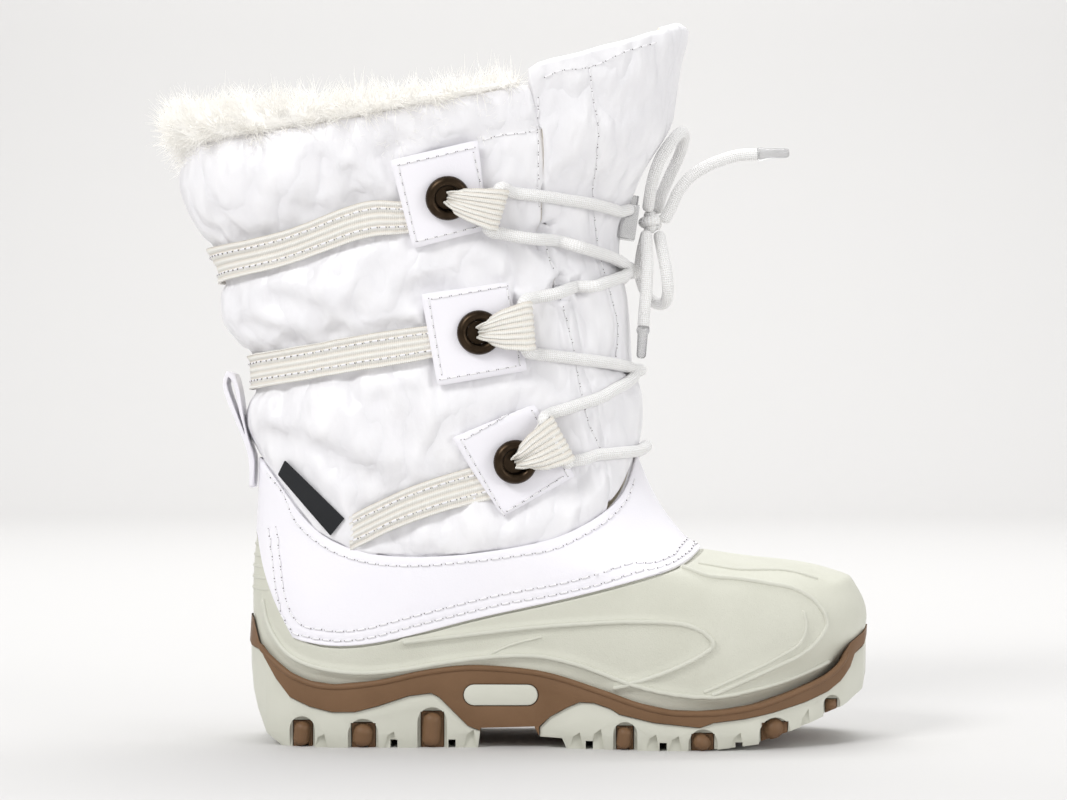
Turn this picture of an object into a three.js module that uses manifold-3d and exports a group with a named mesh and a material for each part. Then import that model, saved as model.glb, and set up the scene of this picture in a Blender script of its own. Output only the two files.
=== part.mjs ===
// A child's apres-ski boot for the right foot, in millimetres: +X runs to the toe, +Z up, and
// the lateral side of the foot faces -Y. The origin is on the floor under the heel.
import * as THREE from 'three';
import { mergeVertices } from 'three/addons/utils/BufferGeometryUtils.js';
import Module from 'manifold-3d';

const wasm = await Module();
wasm.setup();

// Sizes that drive the last and the shaft
const soleLength = 231;
const ballWidth = 86;
const shaftWidth = 98;
const seatHeight = 14;
const instepHeight = 104;
const collarHeight = 216.5;

// Sizes of the walls and of the layers over them
const layerGap = 0.35;
const nylonWall = 3;
const bootieWall = 2.4;
const shellWall = 2.6;
const shellFlange = 6;
const leatherWall = 1.3;
const leatherRise = 0.6;
const insoleThickness = 3;

// Sizes of the sole
const greySetBack = 0.9;
const randWidth = 15;
const grooveDepth = 3;
const grooveWidth = 2.6;
const notchGap = 0.3;

// Sizes of the fastening
const webWidth = 14;
const webThickness = 1.3;
const tabThickness = 1.4;
const tabGap = 0.9;
const eyeletRadius = 7.9;
const eyeletBore = 4.5;
const eyeletHeight = 2.3;
const laceDiameter = 4.4;
const laceLift = 1.4;
const loopWall = 1.1;
const loopBore = laceDiameter / 2 + 0.35;
const tunnelLift = 6.4;
const tunnelRun = 3.9;
const pinchedHalf = 2.4;

// Sizes of the collar fur
const furThickness = 6;
const furFoot = 23.6;
const furRise = 13;
const furFlare = 6;
const lockLength = 6.5;
const lockRadius = 2.6;
const lockCount = 20;

// Sizes of the cord lock, the knot and the cord's tips
const cordLock = {
  halfWidth: 7,
  halfHeight: 6.5,
  depth: 6.2,
  corner: 2.6,
  button: 3.6,
  buttonRadius: 1.9,
};
const knotSize = { heart: 4.6, ring: 5.6, flat: 0.8 };
const agletLength = 12;
const agletDiameter = 4.9;

// Sizes of the pull loop and the label
const pullLoop = { reach: 12.2, height: 31.5, width: 16 };
const labelThickness = 0.7;

// The grid that every layer shares: columns go round from the heel over the lateral side
const columns = 32;
const frontColumn = columns / 2;
const seamColumn = 12;
const capPower = 2.25;

// Heights are shares: 0 is the seat of the foot, 1 the instep and 2 the collar at the back
const heightOf = (share) => (share <= 1
  ? seatHeight + share * (instepHeight - seatHeight)
  : instepHeight + (share - 1) * (collarHeight - instepHeight));

// One row for each tilted section from the feather line to the collar. Lengths are shares of the
// sole length, heights are as above, and half widths are shares of half the width of its zone.
// arch and tread raise the section's middle in shares of the seat height, and toeIn is the swing
// of its front to the medial side in shares of the half width.
const sectionKeys = ['backX', 'backH', 'frontX', 'frontH', 'heel', 'waist', 'ball', 'toe',
  'arch', 'tread', 'capBack', 'capFront', 'toeIn'];
const sectionRows = [
  [-0.126, 0.00, 0.806, 0.08, 0.65, 0.60, 0.87, 0.76, 0.05, -0.72, 0.20, 0.28, 0.14],
  [-0.134, 0.11, 0.834, 0.24, 0.73, 0.68, 0.95, 0.86, 0.00, -0.70, 0.18, 0.26, 0.14],
  [-0.139, 0.20, 0.841, 0.36, 0.76, 0.72, 0.98, 0.90, 0.00, -0.50, 0.18, 0.26, 0.14],
  [-0.141, 0.29, 0.833, 0.46, 0.76, 0.74, 0.97, 0.89, 0.00, -0.30, 0.18, 0.26, 0.14],
  [-0.142, 0.38, 0.806, 0.53, 0.76, 0.75, 0.94, 0.86, 0.00, -0.15, 0.19, 0.28, 0.13],
  [-0.142, 0.47, 0.745, 0.57, 0.75, 0.76, 0.90, 0.82, 0.00, -0.05, 0.21, 0.31, 0.12],
  [-0.141, 0.56, 0.671, 0.58, 0.74, 0.77, 0.88, 0.78, 0.00, 0.00, 0.23, 0.36, 0.10],
  [-0.137, 0.64, 0.602, 0.60, 0.73, 0.78, 0.85, 0.74, 0.00, 0.00, 0.25, 0.41, 0.08],
  [-0.133, 0.73, 0.545, 0.68, 0.73, 0.80, 0.82, 0.70, 0.00, 0.00, 0.27, 0.44, 0.05],
  [-0.131, 0.84, 0.502, 0.82, 0.74, 0.82, 0.80, 0.67, 0.00, 0.00, 0.29, 0.45, 0.03],
  [-0.129, 0.95, 0.477, 0.96, 0.75, 0.84, 0.80, 0.66, 0.00, 0.00, 0.31, 0.45, 0.02],
  [-0.132, 1.04, 0.474, 1.09, 0.70, 0.77, 0.73, 0.59, 0.00, 0.00, 0.33, 0.44, 0.00],
  [-0.142, 1.12, 0.471, 1.21, 0.72, 0.80, 0.75, 0.60, 0.00, 0.00, 0.35, 0.43, 0.00],
  [-0.145, 1.18, 0.455, 1.29, 0.72, 0.81, 0.76, 0.60, 0.00, 0.00, 0.36, 0.43, 0.00],
  [-0.135, 1.23, 0.462, 1.39, 0.71, 0.81, 0.77, 0.61, 0.00, 0.00, 0.36, 0.43, 0.00],
  [-0.136, 1.31, 0.459, 1.48, 0.72, 0.82, 0.78, 0.61, 0.00, 0.00, 0.37, 0.43, 0.00],
  [-0.152, 1.35, 0.455, 1.54, 0.76, 0.84, 0.79, 0.62, 0.00, 0.00, 0.37, 0.43, 0.00],
  [-0.173, 1.41, 0.447, 1.60, 0.79, 0.86, 0.80, 0.63, 0.00, 0.00, 0.37, 0.43, 0.00],
  [-0.186, 1.50, 0.437, 1.67, 0.80, 0.87, 0.81, 0.64, 0.00, 0.00, 0.37, 0.43, 0.00],
  [-0.188, 1.57, 0.442, 1.75, 0.79, 0.87, 0.81, 0.64, 0.00, 0.00, 0.37, 0.42, 0.00],
  [-0.188, 1.62, 0.447, 1.82, 0.79, 0.88, 0.82, 0.65, 0.00, 0.00, 0.37, 0.42, 0.00],
  [-0.206, 1.68, 0.474, 1.91, 0.83, 0.91, 0.84, 0.67, 0.00, 0.00, 0.37, 0.42, 0.00],
  [-0.229, 1.76, 0.494, 1.98, 0.88, 0.94, 0.87, 0.70, -0.10, -0.10, 0.37, 0.42, 0.00],
  [-0.247, 1.85, 0.525, 2.08, 0.91, 0.97, 0.91, 0.74, -0.20, -0.25, 0.37, 0.42, 0.00],
  [-0.254, 1.93, 0.542, 2.22, 0.93, 0.99, 0.94, 0.78, -0.35, -0.45, 0.37, 0.42, 0.00],
  [-0.253, 2.00, 0.553, 2.35, 0.94, 1.00, 0.96, 0.81, -0.45, -0.50, 0.37, 0.42, 0.00],
  [-0.251, 2.05, 0.551, 2.41, 0.94, 1.00, 0.96, 0.81, -0.45, -0.50, 0.37, 0.42, 0.00],
];
const firstShaftRow = 11;
const collarLevel = 25;

const sections = sectionRows.map((row, index) => {
  const share = Object.fromEntries(sectionKeys.map((key, k) => [key, row[k]]));
  const half = (index < firstShaftRow ? ballWidth : shaftWidth) / 2;
  return {
    backX: share.backX * soleLength,
    backZ: heightOf(share.backH),
    frontX: share.frontX * soleLength,
    frontZ: heightOf(share.frontH),
    heel: share.heel * half,
    waist: share.waist * half,
    ball: share.ball * half,
    toe: share.toe * half,
    arch: share.arch * seatHeight,
    tread: share.tread * seatHeight,
    capBack: share.capBack,
    capFront: share.capFront,
    toeIn: share.toeIn * half,
  };
});

// A smooth curve through points [x, y] that never swings past them, straight beyond its ends
function smoothLine(points) {
  const last = points.length - 1;
  const slope = (k) => (points[k + 1][1] - points[k][1]) / (points[k + 1][0] - points[k][0]);
  const tangent = points.map((point, k) => {
    if (k === 0) return slope(0);
    if (k === last) return slope(last - 1);
    const before = slope(k - 1);
    const after = slope(k);
    return before * after <= 0 ? 0 : (2 * before * after) / (before + after);
  });
  return (x) => {
    if (x <= points[0][0]) return points[0][1] + (x - points[0][0]) * tangent[0];
    if (x >= points[last][0]) return points[last][1] + (x - points[last][0]) * tangent[last];
    let k = 0;
    while (x > points[k + 1][0]) k += 1;
    const width = points[k + 1][0] - points[k][0];
    const f = (x - points[k][0]) / width;
    const g = 1 - f;
    return points[k][1] * g * g * (1 + 2 * f) + points[k + 1][1] * f * f * (3 - 2 * f)
      + width * (tangent[k] * f * g * g - tangent[k + 1] * f * f * g);
  };
}

// A side-view line in real sizes from rows of [length share, height share]
const sideLine = (rows) => smoothLine(rows.map(([x, h]) => [x * soleLength, heightOf(h)]));

// The seam between the quarters and the tongue, as a share of the half turn from back to front
const seamTurn = smoothLine([[0, 0.71], [5, 0.715], [8, 0.75], [10.4, 0.789], [13.6, 0.75],
  [17.9, 0.72], [20.7, 0.683], [22.6, 0.658], [25, 0.622], [26, 0.612]]);
const archShape = smoothLine([[0, 0], [0.4, 1], [0.75, 0], [1, 0]]);
const treadShape = smoothLine([[0, 0], [0.4, 0.12], [0.72, 1], [1, 0]]);
const swayShape = smoothLine([[0, 0], [0.42, -0.25], [0.72, -0.1], [1, 1]]);

// A section value between rows, by a smooth spline through the rows
function sectionValue(key, level) {
  const last = sections.length - 1;
  const index = Math.min(Math.max(Math.floor(level), 0), last - 1);
  const f = level - index;
  const row = (k) => sections[Math.min(Math.max(k, 0), last)][key];
  const [a, b, c, d] = [row(index - 1), row(index), row(index + 1), row(index + 2)];
  return b + 0.5 * f * (c - a + f * (2 * a - 5 * b + 4 * c - d + f * (3 * (b - c) + d - a)));
}

// A section's height along its length, from its back to its front
function sectionHeight(level, along) {
  const back = sectionValue('backZ', level);
  const front = sectionValue('frontZ', level);
  return back + (front - back) * along + sectionValue('arch', level) * archShape(along)
    + sectionValue('tread', level) * treadShape(along);
}

const roundCap = (share) => (share >= 1 ? 1
  : (1 - (1 - share) ** capPower) ** (1 / capPower));

// A section's half width along its length, closed by a round cap at the back and the front
function sectionWidth(level, along) {
  const width = smoothLine([[0, sectionValue('heel', level)],
    [0.15, sectionValue('heel', level)], [0.42, sectionValue('waist', level)],
    [0.7, sectionValue('ball', level)], [1, sectionValue('toe', level)]])(along);
  return width * roundCap(along / sectionValue('capBack', level))
    * roundCap((1 - along) / sectionValue('capFront', level));
}

// How far along its section a column stands, and on which side
function columnPlace(column, level) {
  const around = ((column % columns) + columns) % columns;
  const side = around <= frontColumn ? -1 : 1;
  const half = side < 0 ? around : columns - around;
  const seam = seamTurn(level);
  const turn = half <= seamColumn
    ? (seam * half) / seamColumn
    : seam + ((1 - seam) * (half - seamColumn)) / (frontColumn - seamColumn);
  return { along: 0.5 - 0.5 * Math.cos(Math.PI * turn), side };
}

// The outer surface of the boot, and the same surface moved out by an offset
function surface(column, level) {
  const { along, side } = columnPlace(column, level);
  const back = sectionValue('backX', level);
  const x = back + (sectionValue('frontX', level) - back) * along;
  const y = side * sectionWidth(level, along) + sectionValue('toeIn', level) * swayShape(along);
  return new THREE.Vector3(x, y, sectionHeight(level, along));
}

const step = 0.03;
function surfaceNormal(column, level) {
  const across = surface(column + step, level).sub(surface(column - step, level));
  const up = surface(column, level + step).sub(surface(column, level - step));
  return across.cross(up).normalize();
}

const offsetPoint = (column, level, offset) =>
  surface(column, level).addScaledVector(surfaceNormal(column, level), offset);

// The level at which a column crosses a line drawn in the side view
function levelOn(line, column, low = 0, high = 26) {
  let [under, over] = [low, high];
  for (let turn = 0; turn < 30; turn += 1) {
    const middle = (under + over) / 2;
    const point = surface(column, middle);
    if (point.z < line(point.x)) under = middle;
    else over = middle;
  }
  return (under + over) / 2;
}

// The column and level of a side-view place on the lateral side
function locate(x, z) {
  const level = (column) => levelOn(() => z, column);
  let [back, front] = [0.3, frontColumn - 0.3];
  for (let turn = 0; turn < 26; turn += 1) {
    const middle = (back + front) / 2;
    if (surface(middle, level(middle)).x < x) back = middle;
    else front = middle;
  }
  return { column: back, level: level(back) };
}
const locateShare = ([x, h]) => locate(x * soleLength, heightOf(h));
const mirrored = (column, side) => (side < 0 ? column : columns - column);

// A mesh geometry from points and triangles of point numbers
function geometryOf(points, triangles) {
  const geometry = new THREE.BufferGeometry();
  geometry.setAttribute('position',
    new THREE.Float32BufferAttribute(points.flatMap((p) => [p.x, p.y, p.z]), 3));
  geometry.setIndex(triangles.flat());
  return geometry;
}

// A closed wall between an outer and an inner skin over the kept cells of a grid
function wall({ across, rows, closed = false, outer, inner, keep = () => true }) {
  const points = [];
  const triangles = [];
  const numbers = new Map();
  const node = (skin, c, r) => {
    const column = closed ? (c + across) % across : c;
    const key = `${skin} ${column} ${r}`;
    if (!numbers.has(key)) {
      numbers.set(key, points.length);
      points.push((skin === 'out' ? outer : inner)(column, r));
    }
    return numbers.get(key);
  };
  const quad = (a, b, c, d) => triangles.push([a, b, c], [a, c, d]);
  const cells = closed ? across : across - 1;
  const kept = (c, r) => {
    const column = closed ? (c + cells) % cells : c;
    return column >= 0 && column < cells && r >= 0 && r < rows - 1 && keep(column, r);
  };
  for (let r = 0; r < rows - 1; r += 1) {
    for (let c = 0; c < cells; c += 1) {
      if (!kept(c, r)) continue;
      const corners = [[c, r], [c + 1, r], [c + 1, r + 1], [c, r + 1]];
      const out = corners.map(([i, k]) => node('out', i, k));
      const back = corners.map(([i, k]) => node('in', i, k));
      quad(...out);
      quad(back[0], back[3], back[2], back[1]);
      const beyond = [[c, r - 1], [c + 1, r], [c, r + 1], [c - 1, r]];
      beyond.forEach(([i, k], edge) => {
        const next = (edge + 1) % 4;
        if (!kept(i, k)) quad(out[next], out[edge], back[edge], back[next]);
      });
    }
  }
  return geometryOf(points, triangles);
}

// A solid core from stacked rings of nodes, closed by strips across the first and last ring
function core(count, rings) {
  const points = rings.flat();
  const triangles = [];
  for (let r = 0; r < rings.length - 1; r += 1) {
    for (let c = 0; c < count; c += 1) {
      const [a, b] = [r * count + c, r * count + ((c + 1) % count)];
      triangles.push([a, b, b + count], [a, b + count, a + count]);
    }
  }
  const strip = (start, flip) => {
    for (let c = 0; c < count / 2; c += 1) {
      const corners = [c, c + 1, count - c - 1, (count - c) % count].map((k) => start + k);
      const faces = [[corners[0], corners[2], corners[1]], [corners[0], corners[3], corners[2]]]
        .filter(([a, b, d]) => a !== b && b !== d && a !== d);
      faces.forEach((face) => triangles.push(flip ? [...face].reverse() : face));
    }
  };
  strip(0, false);
  strip((rings.length - 1) * count, true);
  return geometryOf(points, triangles);
}

// Solids for cutting and joining, and back to a mesh geometry
function solid(geometry) {
  const bare = geometry.clone();
  bare.deleteAttribute('normal');
  bare.deleteAttribute('uv');
  const merged = mergeVertices(bare, 1e-4);
  return new wasm.Manifold(new wasm.Mesh({
    numProp: 3,
    vertProperties: Float32Array.from(merged.getAttribute('position').array),
    triVerts: Uint32Array.from(merged.getIndex().array),
  }));
}

function geometryFrom(manifold) {
  const mesh = manifold.getMesh();
  const geometry = new THREE.BufferGeometry();
  geometry.setAttribute('position',
    new THREE.BufferAttribute(Float32Array.from(mesh.vertProperties), 3));
  geometry.setIndex(new THREE.BufferAttribute(Uint32Array.from(mesh.triVerts), 1));
  return geometry;
}

// A prism across the boot from a closed side-view outline of [x, z] points
function sidePrism(outline, halfWidth = ballWidth) {
  const shape = new THREE.Shape(outline.map(([x, z]) => new THREE.Vector2(x, z)));
  const prism = new THREE.ExtrudeGeometry(shape, { depth: 2 * halfWidth, bevelEnabled: false });
  prism.rotateX(Math.PI / 2);
  prism.translate(0, halfWidth, 0);
  return solid(prism);
}

function crossBox(fromX, toX, fromZ, toZ, halfWidth = ballWidth) {
  const box = new THREE.BoxGeometry(toX - fromX, 2 * halfWidth, toZ - fromZ);
  box.translate((fromX + toX) / 2, 0, (fromZ + toZ) / 2);
  return solid(box);
}

// A round cord along a route, with flat ends
function cord(route, { diameter = laceDiameter, sides = 8, stride = 2.3 } = {}) {
  const path = new THREE.CatmullRomCurve3(route, false, 'centripetal');
  const turn = Array.from({ length: sides }, (unused, k) => (2 * Math.PI * (k + 0.5)) / sides);
  const shape = new THREE.Shape(turn.map((angle) =>
    new THREE.Vector2(Math.cos(angle), Math.sin(angle)).multiplyScalar(diameter / 2)));
  const steps = Math.max(2, Math.round(path.getLength() / (stride * diameter)));
  return new THREE.ExtrudeGeometry(shape, { steps, extrudePath: path, bevelEnabled: false });
}

// The colours and gloss of the materials
const finish = (color, roughness, metalness = 0) =>
  new THREE.MeshStandardMaterial({ color, roughness, metalness });
const nylon = finish(0xf1f0f4, 0.3);
const leatherette = finish(0xf6f4f8, 0.35);
const greyRubber = finish(0xc6c7ba, 0.55);
const brownRubber = finish(0x7d5e43, 0.6);
const fleece = finish(0xf0ece2, 0.95);
const webbing = finish(0xe6e1d6, 0.8);
const bronze = finish(0x3c3228, 0.35, 0.9);
const braid = finish(0xf3f2f2, 0.7);
const clearPlastic = finish(0xa9a9a6, 0.2);
const blackWeave = finish(0x17181a, 0.8);
const feltGrey = finish(0x8d8d8a, 0.95);

const boot = new THREE.Group();
function add(name, geometry, material) {
  const mesh = new THREE.Mesh(geometry, material);
  mesh.name = name;
  boot.add(mesh);
  return mesh;
}

// The two side-view edges of the leather band, and the levels where each column meets them
const leatherFoot = sideLine([[-0.19, 0.71], [-0.131, 0.70], [-0.119, 0.58], [-0.107, 0.43],
  [-0.089, 0.325], [-0.06, 0.26], [-0.02, 0.235], [0.02, 0.232], [0.066, 0.25], [0.132, 0.29],
  [0.197, 0.34], [0.263, 0.376], [0.349, 0.424], [0.446, 0.49], [0.511, 0.54], [0.575, 0.606],
  [0.65, 0.73]]);
const leatherTop = sideLine([[-0.19, 1.005], [-0.132, 1.0], [-0.097, 0.915], [-0.08, 0.865],
  [-0.055, 0.75], [0.002, 0.654], [0.056, 0.61], [0.118, 0.602], [0.226, 0.622],
  [0.289, 0.648], [0.335, 0.672], [0.384, 0.723], [0.421, 0.78], [0.448, 0.84],
  [0.462, 0.92], [0.4715, 0.99], [0.55, 1.41]]);
const columnList = Array.from({ length: columns }, (unused, k) => k);
const footLevel = columnList.map((column) => levelOn(leatherFoot, column));
const topLevel = columnList.map((column) => levelOn(leatherTop, column));
const flangeLevel = columnList.map((column) =>
  levelOn((x) => leatherFoot(x) + shellFlange, column));

// Rows of the grid as levels of one column: shell zone, leather zone and shaft
const shellRows = 7;
const leatherRows = 2;
const lowRows = 2;
const shaftLevels = [12, 12.95, 14.1, 15.1, 16.1, 17.1, 18.4, 19.9, 21.4, 23.1, collarLevel];
const shaftRows = lowRows + shaftLevels.length - 1;
const between = (from, to, share) => from + (to - from) * share;
const shellLevel = (column, row) => between(0, footLevel[column], row / (shellRows - 1));
const leatherLevel = (column, row) =>
  between(flangeLevel[column], topLevel[column], row / leatherRows);
const shaftLevel = (column, row) => (row < lowRows
  ? between(topLevel[column], shaftLevels[0], row / lowRows)
  : shaftLevels[row - lowRows]);

// Offsets of the layers from the outer surface, and the small step of a layer's edge
const bootieOut = -shellWall - layerGap;
const underLeather = leatherRise - leatherWall - layerGap;
const flangeStep = 0.1;
const throatStep = 0.14;
const midFlange = (column) => (footLevel[column] + flangeLevel[column]) / 2;

// The shell: a moulded galosh round the foot, with a thin flange under the leather band
function shellGeometry() {
  const edge = 0.04;
  const rows = Array.from({ length: shellRows }, (unused, row) =>
    ({ level: (c) => shellLevel(c, row), out: 0 }));
  rows.push({ level: (c) => footLevel[c] + edge, out: underLeather });
  rows.push({ level: midFlange, out: underLeather });
  rows.push({ level: (c) => flangeLevel[c], out: underLeather });
  return wall({
    across: columns,
    rows: rows.length,
    closed: true,
    outer: (c, r) => offsetPoint(c, rows[r].level(c), rows[r].out),
    inner: (c, r) => offsetPoint(c, rows[r].level(c), -shellWall),
  });
}

// The leather band between its two side-view edges, over the shell's flange and the bootie
function leatherGeometry() {
  const edge = 0.12;
  const rows = [(c) => footLevel[c] + edge, midFlange, (c) => flangeLevel[c],
    (c) => flangeLevel[c] + 2 * flangeStep];
  for (let row = 1; row <= leatherRows; row += 1) rows.push((c) => leatherLevel(c, row));
  return wall({
    across: columns,
    rows: rows.length,
    closed: true,
    outer: (c, r) => offsetPoint(c, rows[r](c), leatherRise),
    inner: (c, r) => offsetPoint(c, rows[r](c), leatherRise - leatherWall),
  });
}

// The upper: a bootie inside the shell that goes up into the quilted shaft as one wall. Over the
// leather's top edge its columns stop at the two seams, and the tongue fills the throat.
const upperRows = [];
for (let row = 0; row < shellRows; row += 1) {
  upperRows.push({ level: (c) => shellLevel(c, row), out: bootieOut, wall: bootieWall });
}
[midFlange, (c) => flangeLevel[c], (c) => flangeLevel[c] + flangeStep].forEach((level) =>
  upperRows.push({ level, out: bootieOut, wall: bootieWall }));
upperRows.push({
  level: (c) => flangeLevel[c] + 2 * flangeStep,
  out: underLeather,
  wall: underLeather - bootieOut + bootieWall,
});
for (let row = 1; row < leatherRows; row += 1) {
  upperRows.push({ level: (c) => leatherLevel(c, row), out: underLeather, wall: nylonWall });
}
upperRows.push({
  level: (c) => topLevel[c] + 0.02,
  out: underLeather,
  wall: nylonWall + underLeather,
});
const throatRow = upperRows.length - 1;
upperRows.push({ level: (c) => topLevel[c] + throatStep, out: 0, wall: nylonWall });
for (let row = 1; row <= shaftRows; row += 1) {
  upperRows.push({ level: (c) => shaftLevel(c, row), out: 0, wall: nylonWall });
}

function upperGeometry() {
  const inThroat = (c) => c >= seamColumn && c < columns - seamColumn;
  return wall({
    across: columns,
    rows: upperRows.length,
    closed: true,
    outer: (c, r) => offsetPoint(c, upperRows[r].level(c), upperRows[r].out),
    inner: (c, r) =>
      offsetPoint(c, upperRows[r].level(c), upperRows[r].out - upperRows[r].wall),
    keep: (c, r) => r < throatRow || !inThroat(c),
  });
}

// The tongue: the front panel of the shaft between the seams, a little higher than the quarters
function tongueGeometry() {
  const seamClear = 0.1;
  const foot = 0.12;
  const top = 25.6;
  const across = 2 * (frontColumn - seamColumn) + 1;
  const place = (c) => {
    if (c === 0) return seamColumn + seamClear;
    if (c === across - 1) return columns - seamColumn - seamClear;
    return seamColumn + c;
  };
  const level = (c, r) => {
    const column = Math.round(place(c));
    if (r === 0) return topLevel[column] + throatStep + foot;
    return r === shaftRows ? top : shaftLevel(column, r);
  };
  return wall({
    across,
    rows: shaftRows + 1,
    outer: (c, r) => offsetPoint(place(c), level(c, r), 0),
    inner: (c, r) => offsetPoint(place(c), level(c, r), -nylonWall),
  });
}

// The sole's outline in plan, at the column numbers of the layers
const soleOutline = {
  back: -0.149 * soleLength,
  front: 0.85 * soleLength,
  heel: 0.78 * (ballWidth / 2),
  waist: 0.73 * (ballWidth / 2),
  ball: 1.01 * (ballWidth / 2),
  toe: 0.93 * (ballWidth / 2),
  capBack: 0.18,
  capFront: 0.26,
};
const solePlanWidth = smoothLine([[0, soleOutline.heel], [0.16, soleOutline.heel],
  [0.42, soleOutline.waist], [0.7, soleOutline.ball], [1, soleOutline.toe]]);

function planPoint(column) {
  const { along, side } = columnPlace(column, 2);
  const width = solePlanWidth(along) * roundCap(along / soleOutline.capBack)
    * roundCap((1 - along) / soleOutline.capFront);
  return new THREE.Vector2(between(soleOutline.back, soleOutline.front, along),
    side * width + sectionValue('toeIn', 2) * swayShape(along));
}

// The plan outline at a column, drawn in by an inset along its own normal
function solePlan(column, inset) {
  const run = planPoint(column + step).sub(planPoint(column - step)).normalize();
  return planPoint(column).addScaledVector(new THREE.Vector2(run.y, -run.x), -inset);
}

// A block with the sole's plan, its wall drawn in a little towards the floor
function soleBlock(inset) {
  const rows = [[-4, 3.2], [5, 1], [60, 0]];
  return solid(core(columns, rows.map(([z, taper]) => columnList.map((column) => {
    const plan = solePlan(column, inset + taper);
    return new THREE.Vector3(plan.x, plan.y, z);
  }))));
}

// Side-view lines of the sole: its rim, the tread under it and the top of the grey rand
const rimLine = [[-0.16, 0.36], [-0.14, 0.35], [-0.124, 0.255], [-0.078, 0.152], [-0.04, 0.11],
  [0.0, 0.098], [0.07, 0.115], [0.14, 0.153], [0.2, 0.172], [0.265, 0.168], [0.335, 0.143],
  [0.414, 0.08], [0.467, 0.036], [0.52, 0.007], [0.56, 0.003], [0.6, 0.008], [0.645, 0.024],
  [0.692, 0.058], [0.742, 0.102], [0.768, 0.13], [0.788, 0.17], [0.797, 0.215], [0.808, 0.248],
  [0.83, 0.277], [0.86, 0.32]];
const heelRandTop = [[-0.16, 0.25], [-0.12, 0.219], [-0.094, 0.111], [-0.071, 0.042],
  [-0.04, 0.007], [-0.003, -0.014], [0.032, -0.013], [0.068, 0.011], [0.115, 0.051],
  [0.15, 0.062], [0.162, 0.047], [0.186, -0.013], [0.207, -0.069], [0.226, -0.089]];
const foreRandTop = [[0.3185, -0.072], [0.334, -0.031], [0.362, 0.01], [0.38, 0.03],
  [0.402, 0.028], [0.428, 0.006], [0.44, -0.014], [0.467, -0.029], [0.494, -0.044],
  [0.564, -0.063], [0.585, -0.044], [0.632, -0.031], [0.68, -0.008], [0.729, 0.026],
  [0.768, 0.062], [0.79, 0.1], [0.807, 0.151], [0.815, 0.2], [0.841, 0.243], [0.87, 0.29]];
const soleHeight = (share) => seatHeight + share * (instepHeight - seatHeight);
const inSizes = (rows) => rows.map(([x, h]) => [x * soleLength, soleHeight(h)]);

// The tread in the side view from the heel to the toe, in shares of length and of seat height
const treadLine = [[-0.16, 2.5], [-0.148, 2.4], [-0.139, 1.7], [-0.126, 0.9], [-0.11, 0.3],
  [-0.085, 0], [0.2225, 0], [0.2265, 0.52], [0.31, 0.56], [0.318, 0.3], [0.353, 0.27],
  [0.36, 0], [0.566, 0], [0.6, 0.05], [0.655, 0.16], [0.7, 0.42], [0.755, 0.74], [0.8, 1.05],
  [0.83, 1.35], [0.845, 1.75], [0.87, 2.6]];

// Brown plugs set in the grey rand: where they start and end, and their top
const plugRows = [
  { from: -0.067, to: -0.035, top: -0.05 },
  { from: 0.025, to: 0.064, top: -0.055 },
  { from: 0.133, to: 0.17, top: -0.01 },
  { from: 0.436, to: 0.464, top: -0.06 },
  { from: 0.551, to: 0.587, top: -0.085 },
  { from: 0.66, to: 0.703, top: -0.045 },
  { from: 0.765, to: 0.785, top: 0.03 },
];
const grooveRows = [-0.048, 0.046, 0.092, 0.182, 0.395, 0.45, 0.508, 0.569, 0.625];

// The whole sole before it is split, without the hollow that the foot's shell sits in
function soleFull(inset) {
  const bottom = treadLine.map(([x, h]) => [x * soleLength, h * seatHeight]);
  const top = inSizes(rimLine).reverse();
  return soleBlock(inset).intersect(sidePrism([...bottom, ...top]));
}

function footHollow() {
  const levels = [0, 0, 0.6, 1.3, 2.2, 3.3, 5];
  const rings = levels.map((level, row) => columnList.map((column) => {
    const point = offsetPoint(column, level, layerGap);
    if (row === 0) point.z -= layerGap;
    return point;
  }));
  rings[1] = rings[1].map((point, k) => point.clone().lerp(rings[2][k], 0.15));
  return solid(core(columns, rings));
}

function randRegion(top, clear) {
  const line = inSizes(top).map(([x, z]) => [x, z + clear]);
  const last = line.length - 1;
  line[0][0] -= clear;
  line[last][0] += clear;
  return sidePrism([[line[0][0], -6], [line[last][0], -6], ...line.reverse()]);
}

function plugBoxes(rows, clear) {
  const boxes = rows.map(({ from, to, top }) => crossBox(from * soleLength + clear,
    to * soleLength - clear, -6, soleHeight(top) - clear));
  return boxes.reduce((sum, box) => sum.add(box));
}

function innerPlan(inset) {
  return solid(core(columns, [-8, 80].map((z) => columnList.map((column) => {
    const plan = solePlan(column, inset);
    return new THREE.Vector3(plan.x, plan.y, z);
  }))));
}

// The grey rand round the heel or the forefoot: the sole's edge under a line, with its notches
function rand(top, plugs) {
  const ring = soleFull(greySetBack).intersect(randRegion(top, 0));
  return ring.subtract(innerPlan(randWidth)).subtract(plugBoxes(plugs, 0));
}

// The room that a rand takes out of the outsole: it runs past the tread and the side
function randRoom(top, plugs) {
  const ring = soleBlock(-1).intersect(randRegion(top, notchGap));
  return ring.subtract(innerPlan(randWidth + notchGap)).subtract(plugBoxes(plugs, notchGap));
}

// The one solid of a cut piece, without any sliver that the cut leaves beside it
const largest = (manifold) =>
  manifold.decompose().reduce((best, part) => (part.volume() > best.volume() ? part : best));

const isHeelPlug = ({ to }) => to < 0.25;
const heelPlugs = plugRows.filter(isHeelPlug);
const forePlugs = plugRows.filter((row) => !isHeelPlug(row));

function grooves() {
  const cuts = grooveRows.map((x) => crossBox(x * soleLength - grooveWidth / 2,
    x * soleLength + grooveWidth / 2, -6, grooveDepth));
  return cuts.reduce((sum, cut) => sum.add(cut));
}

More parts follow.
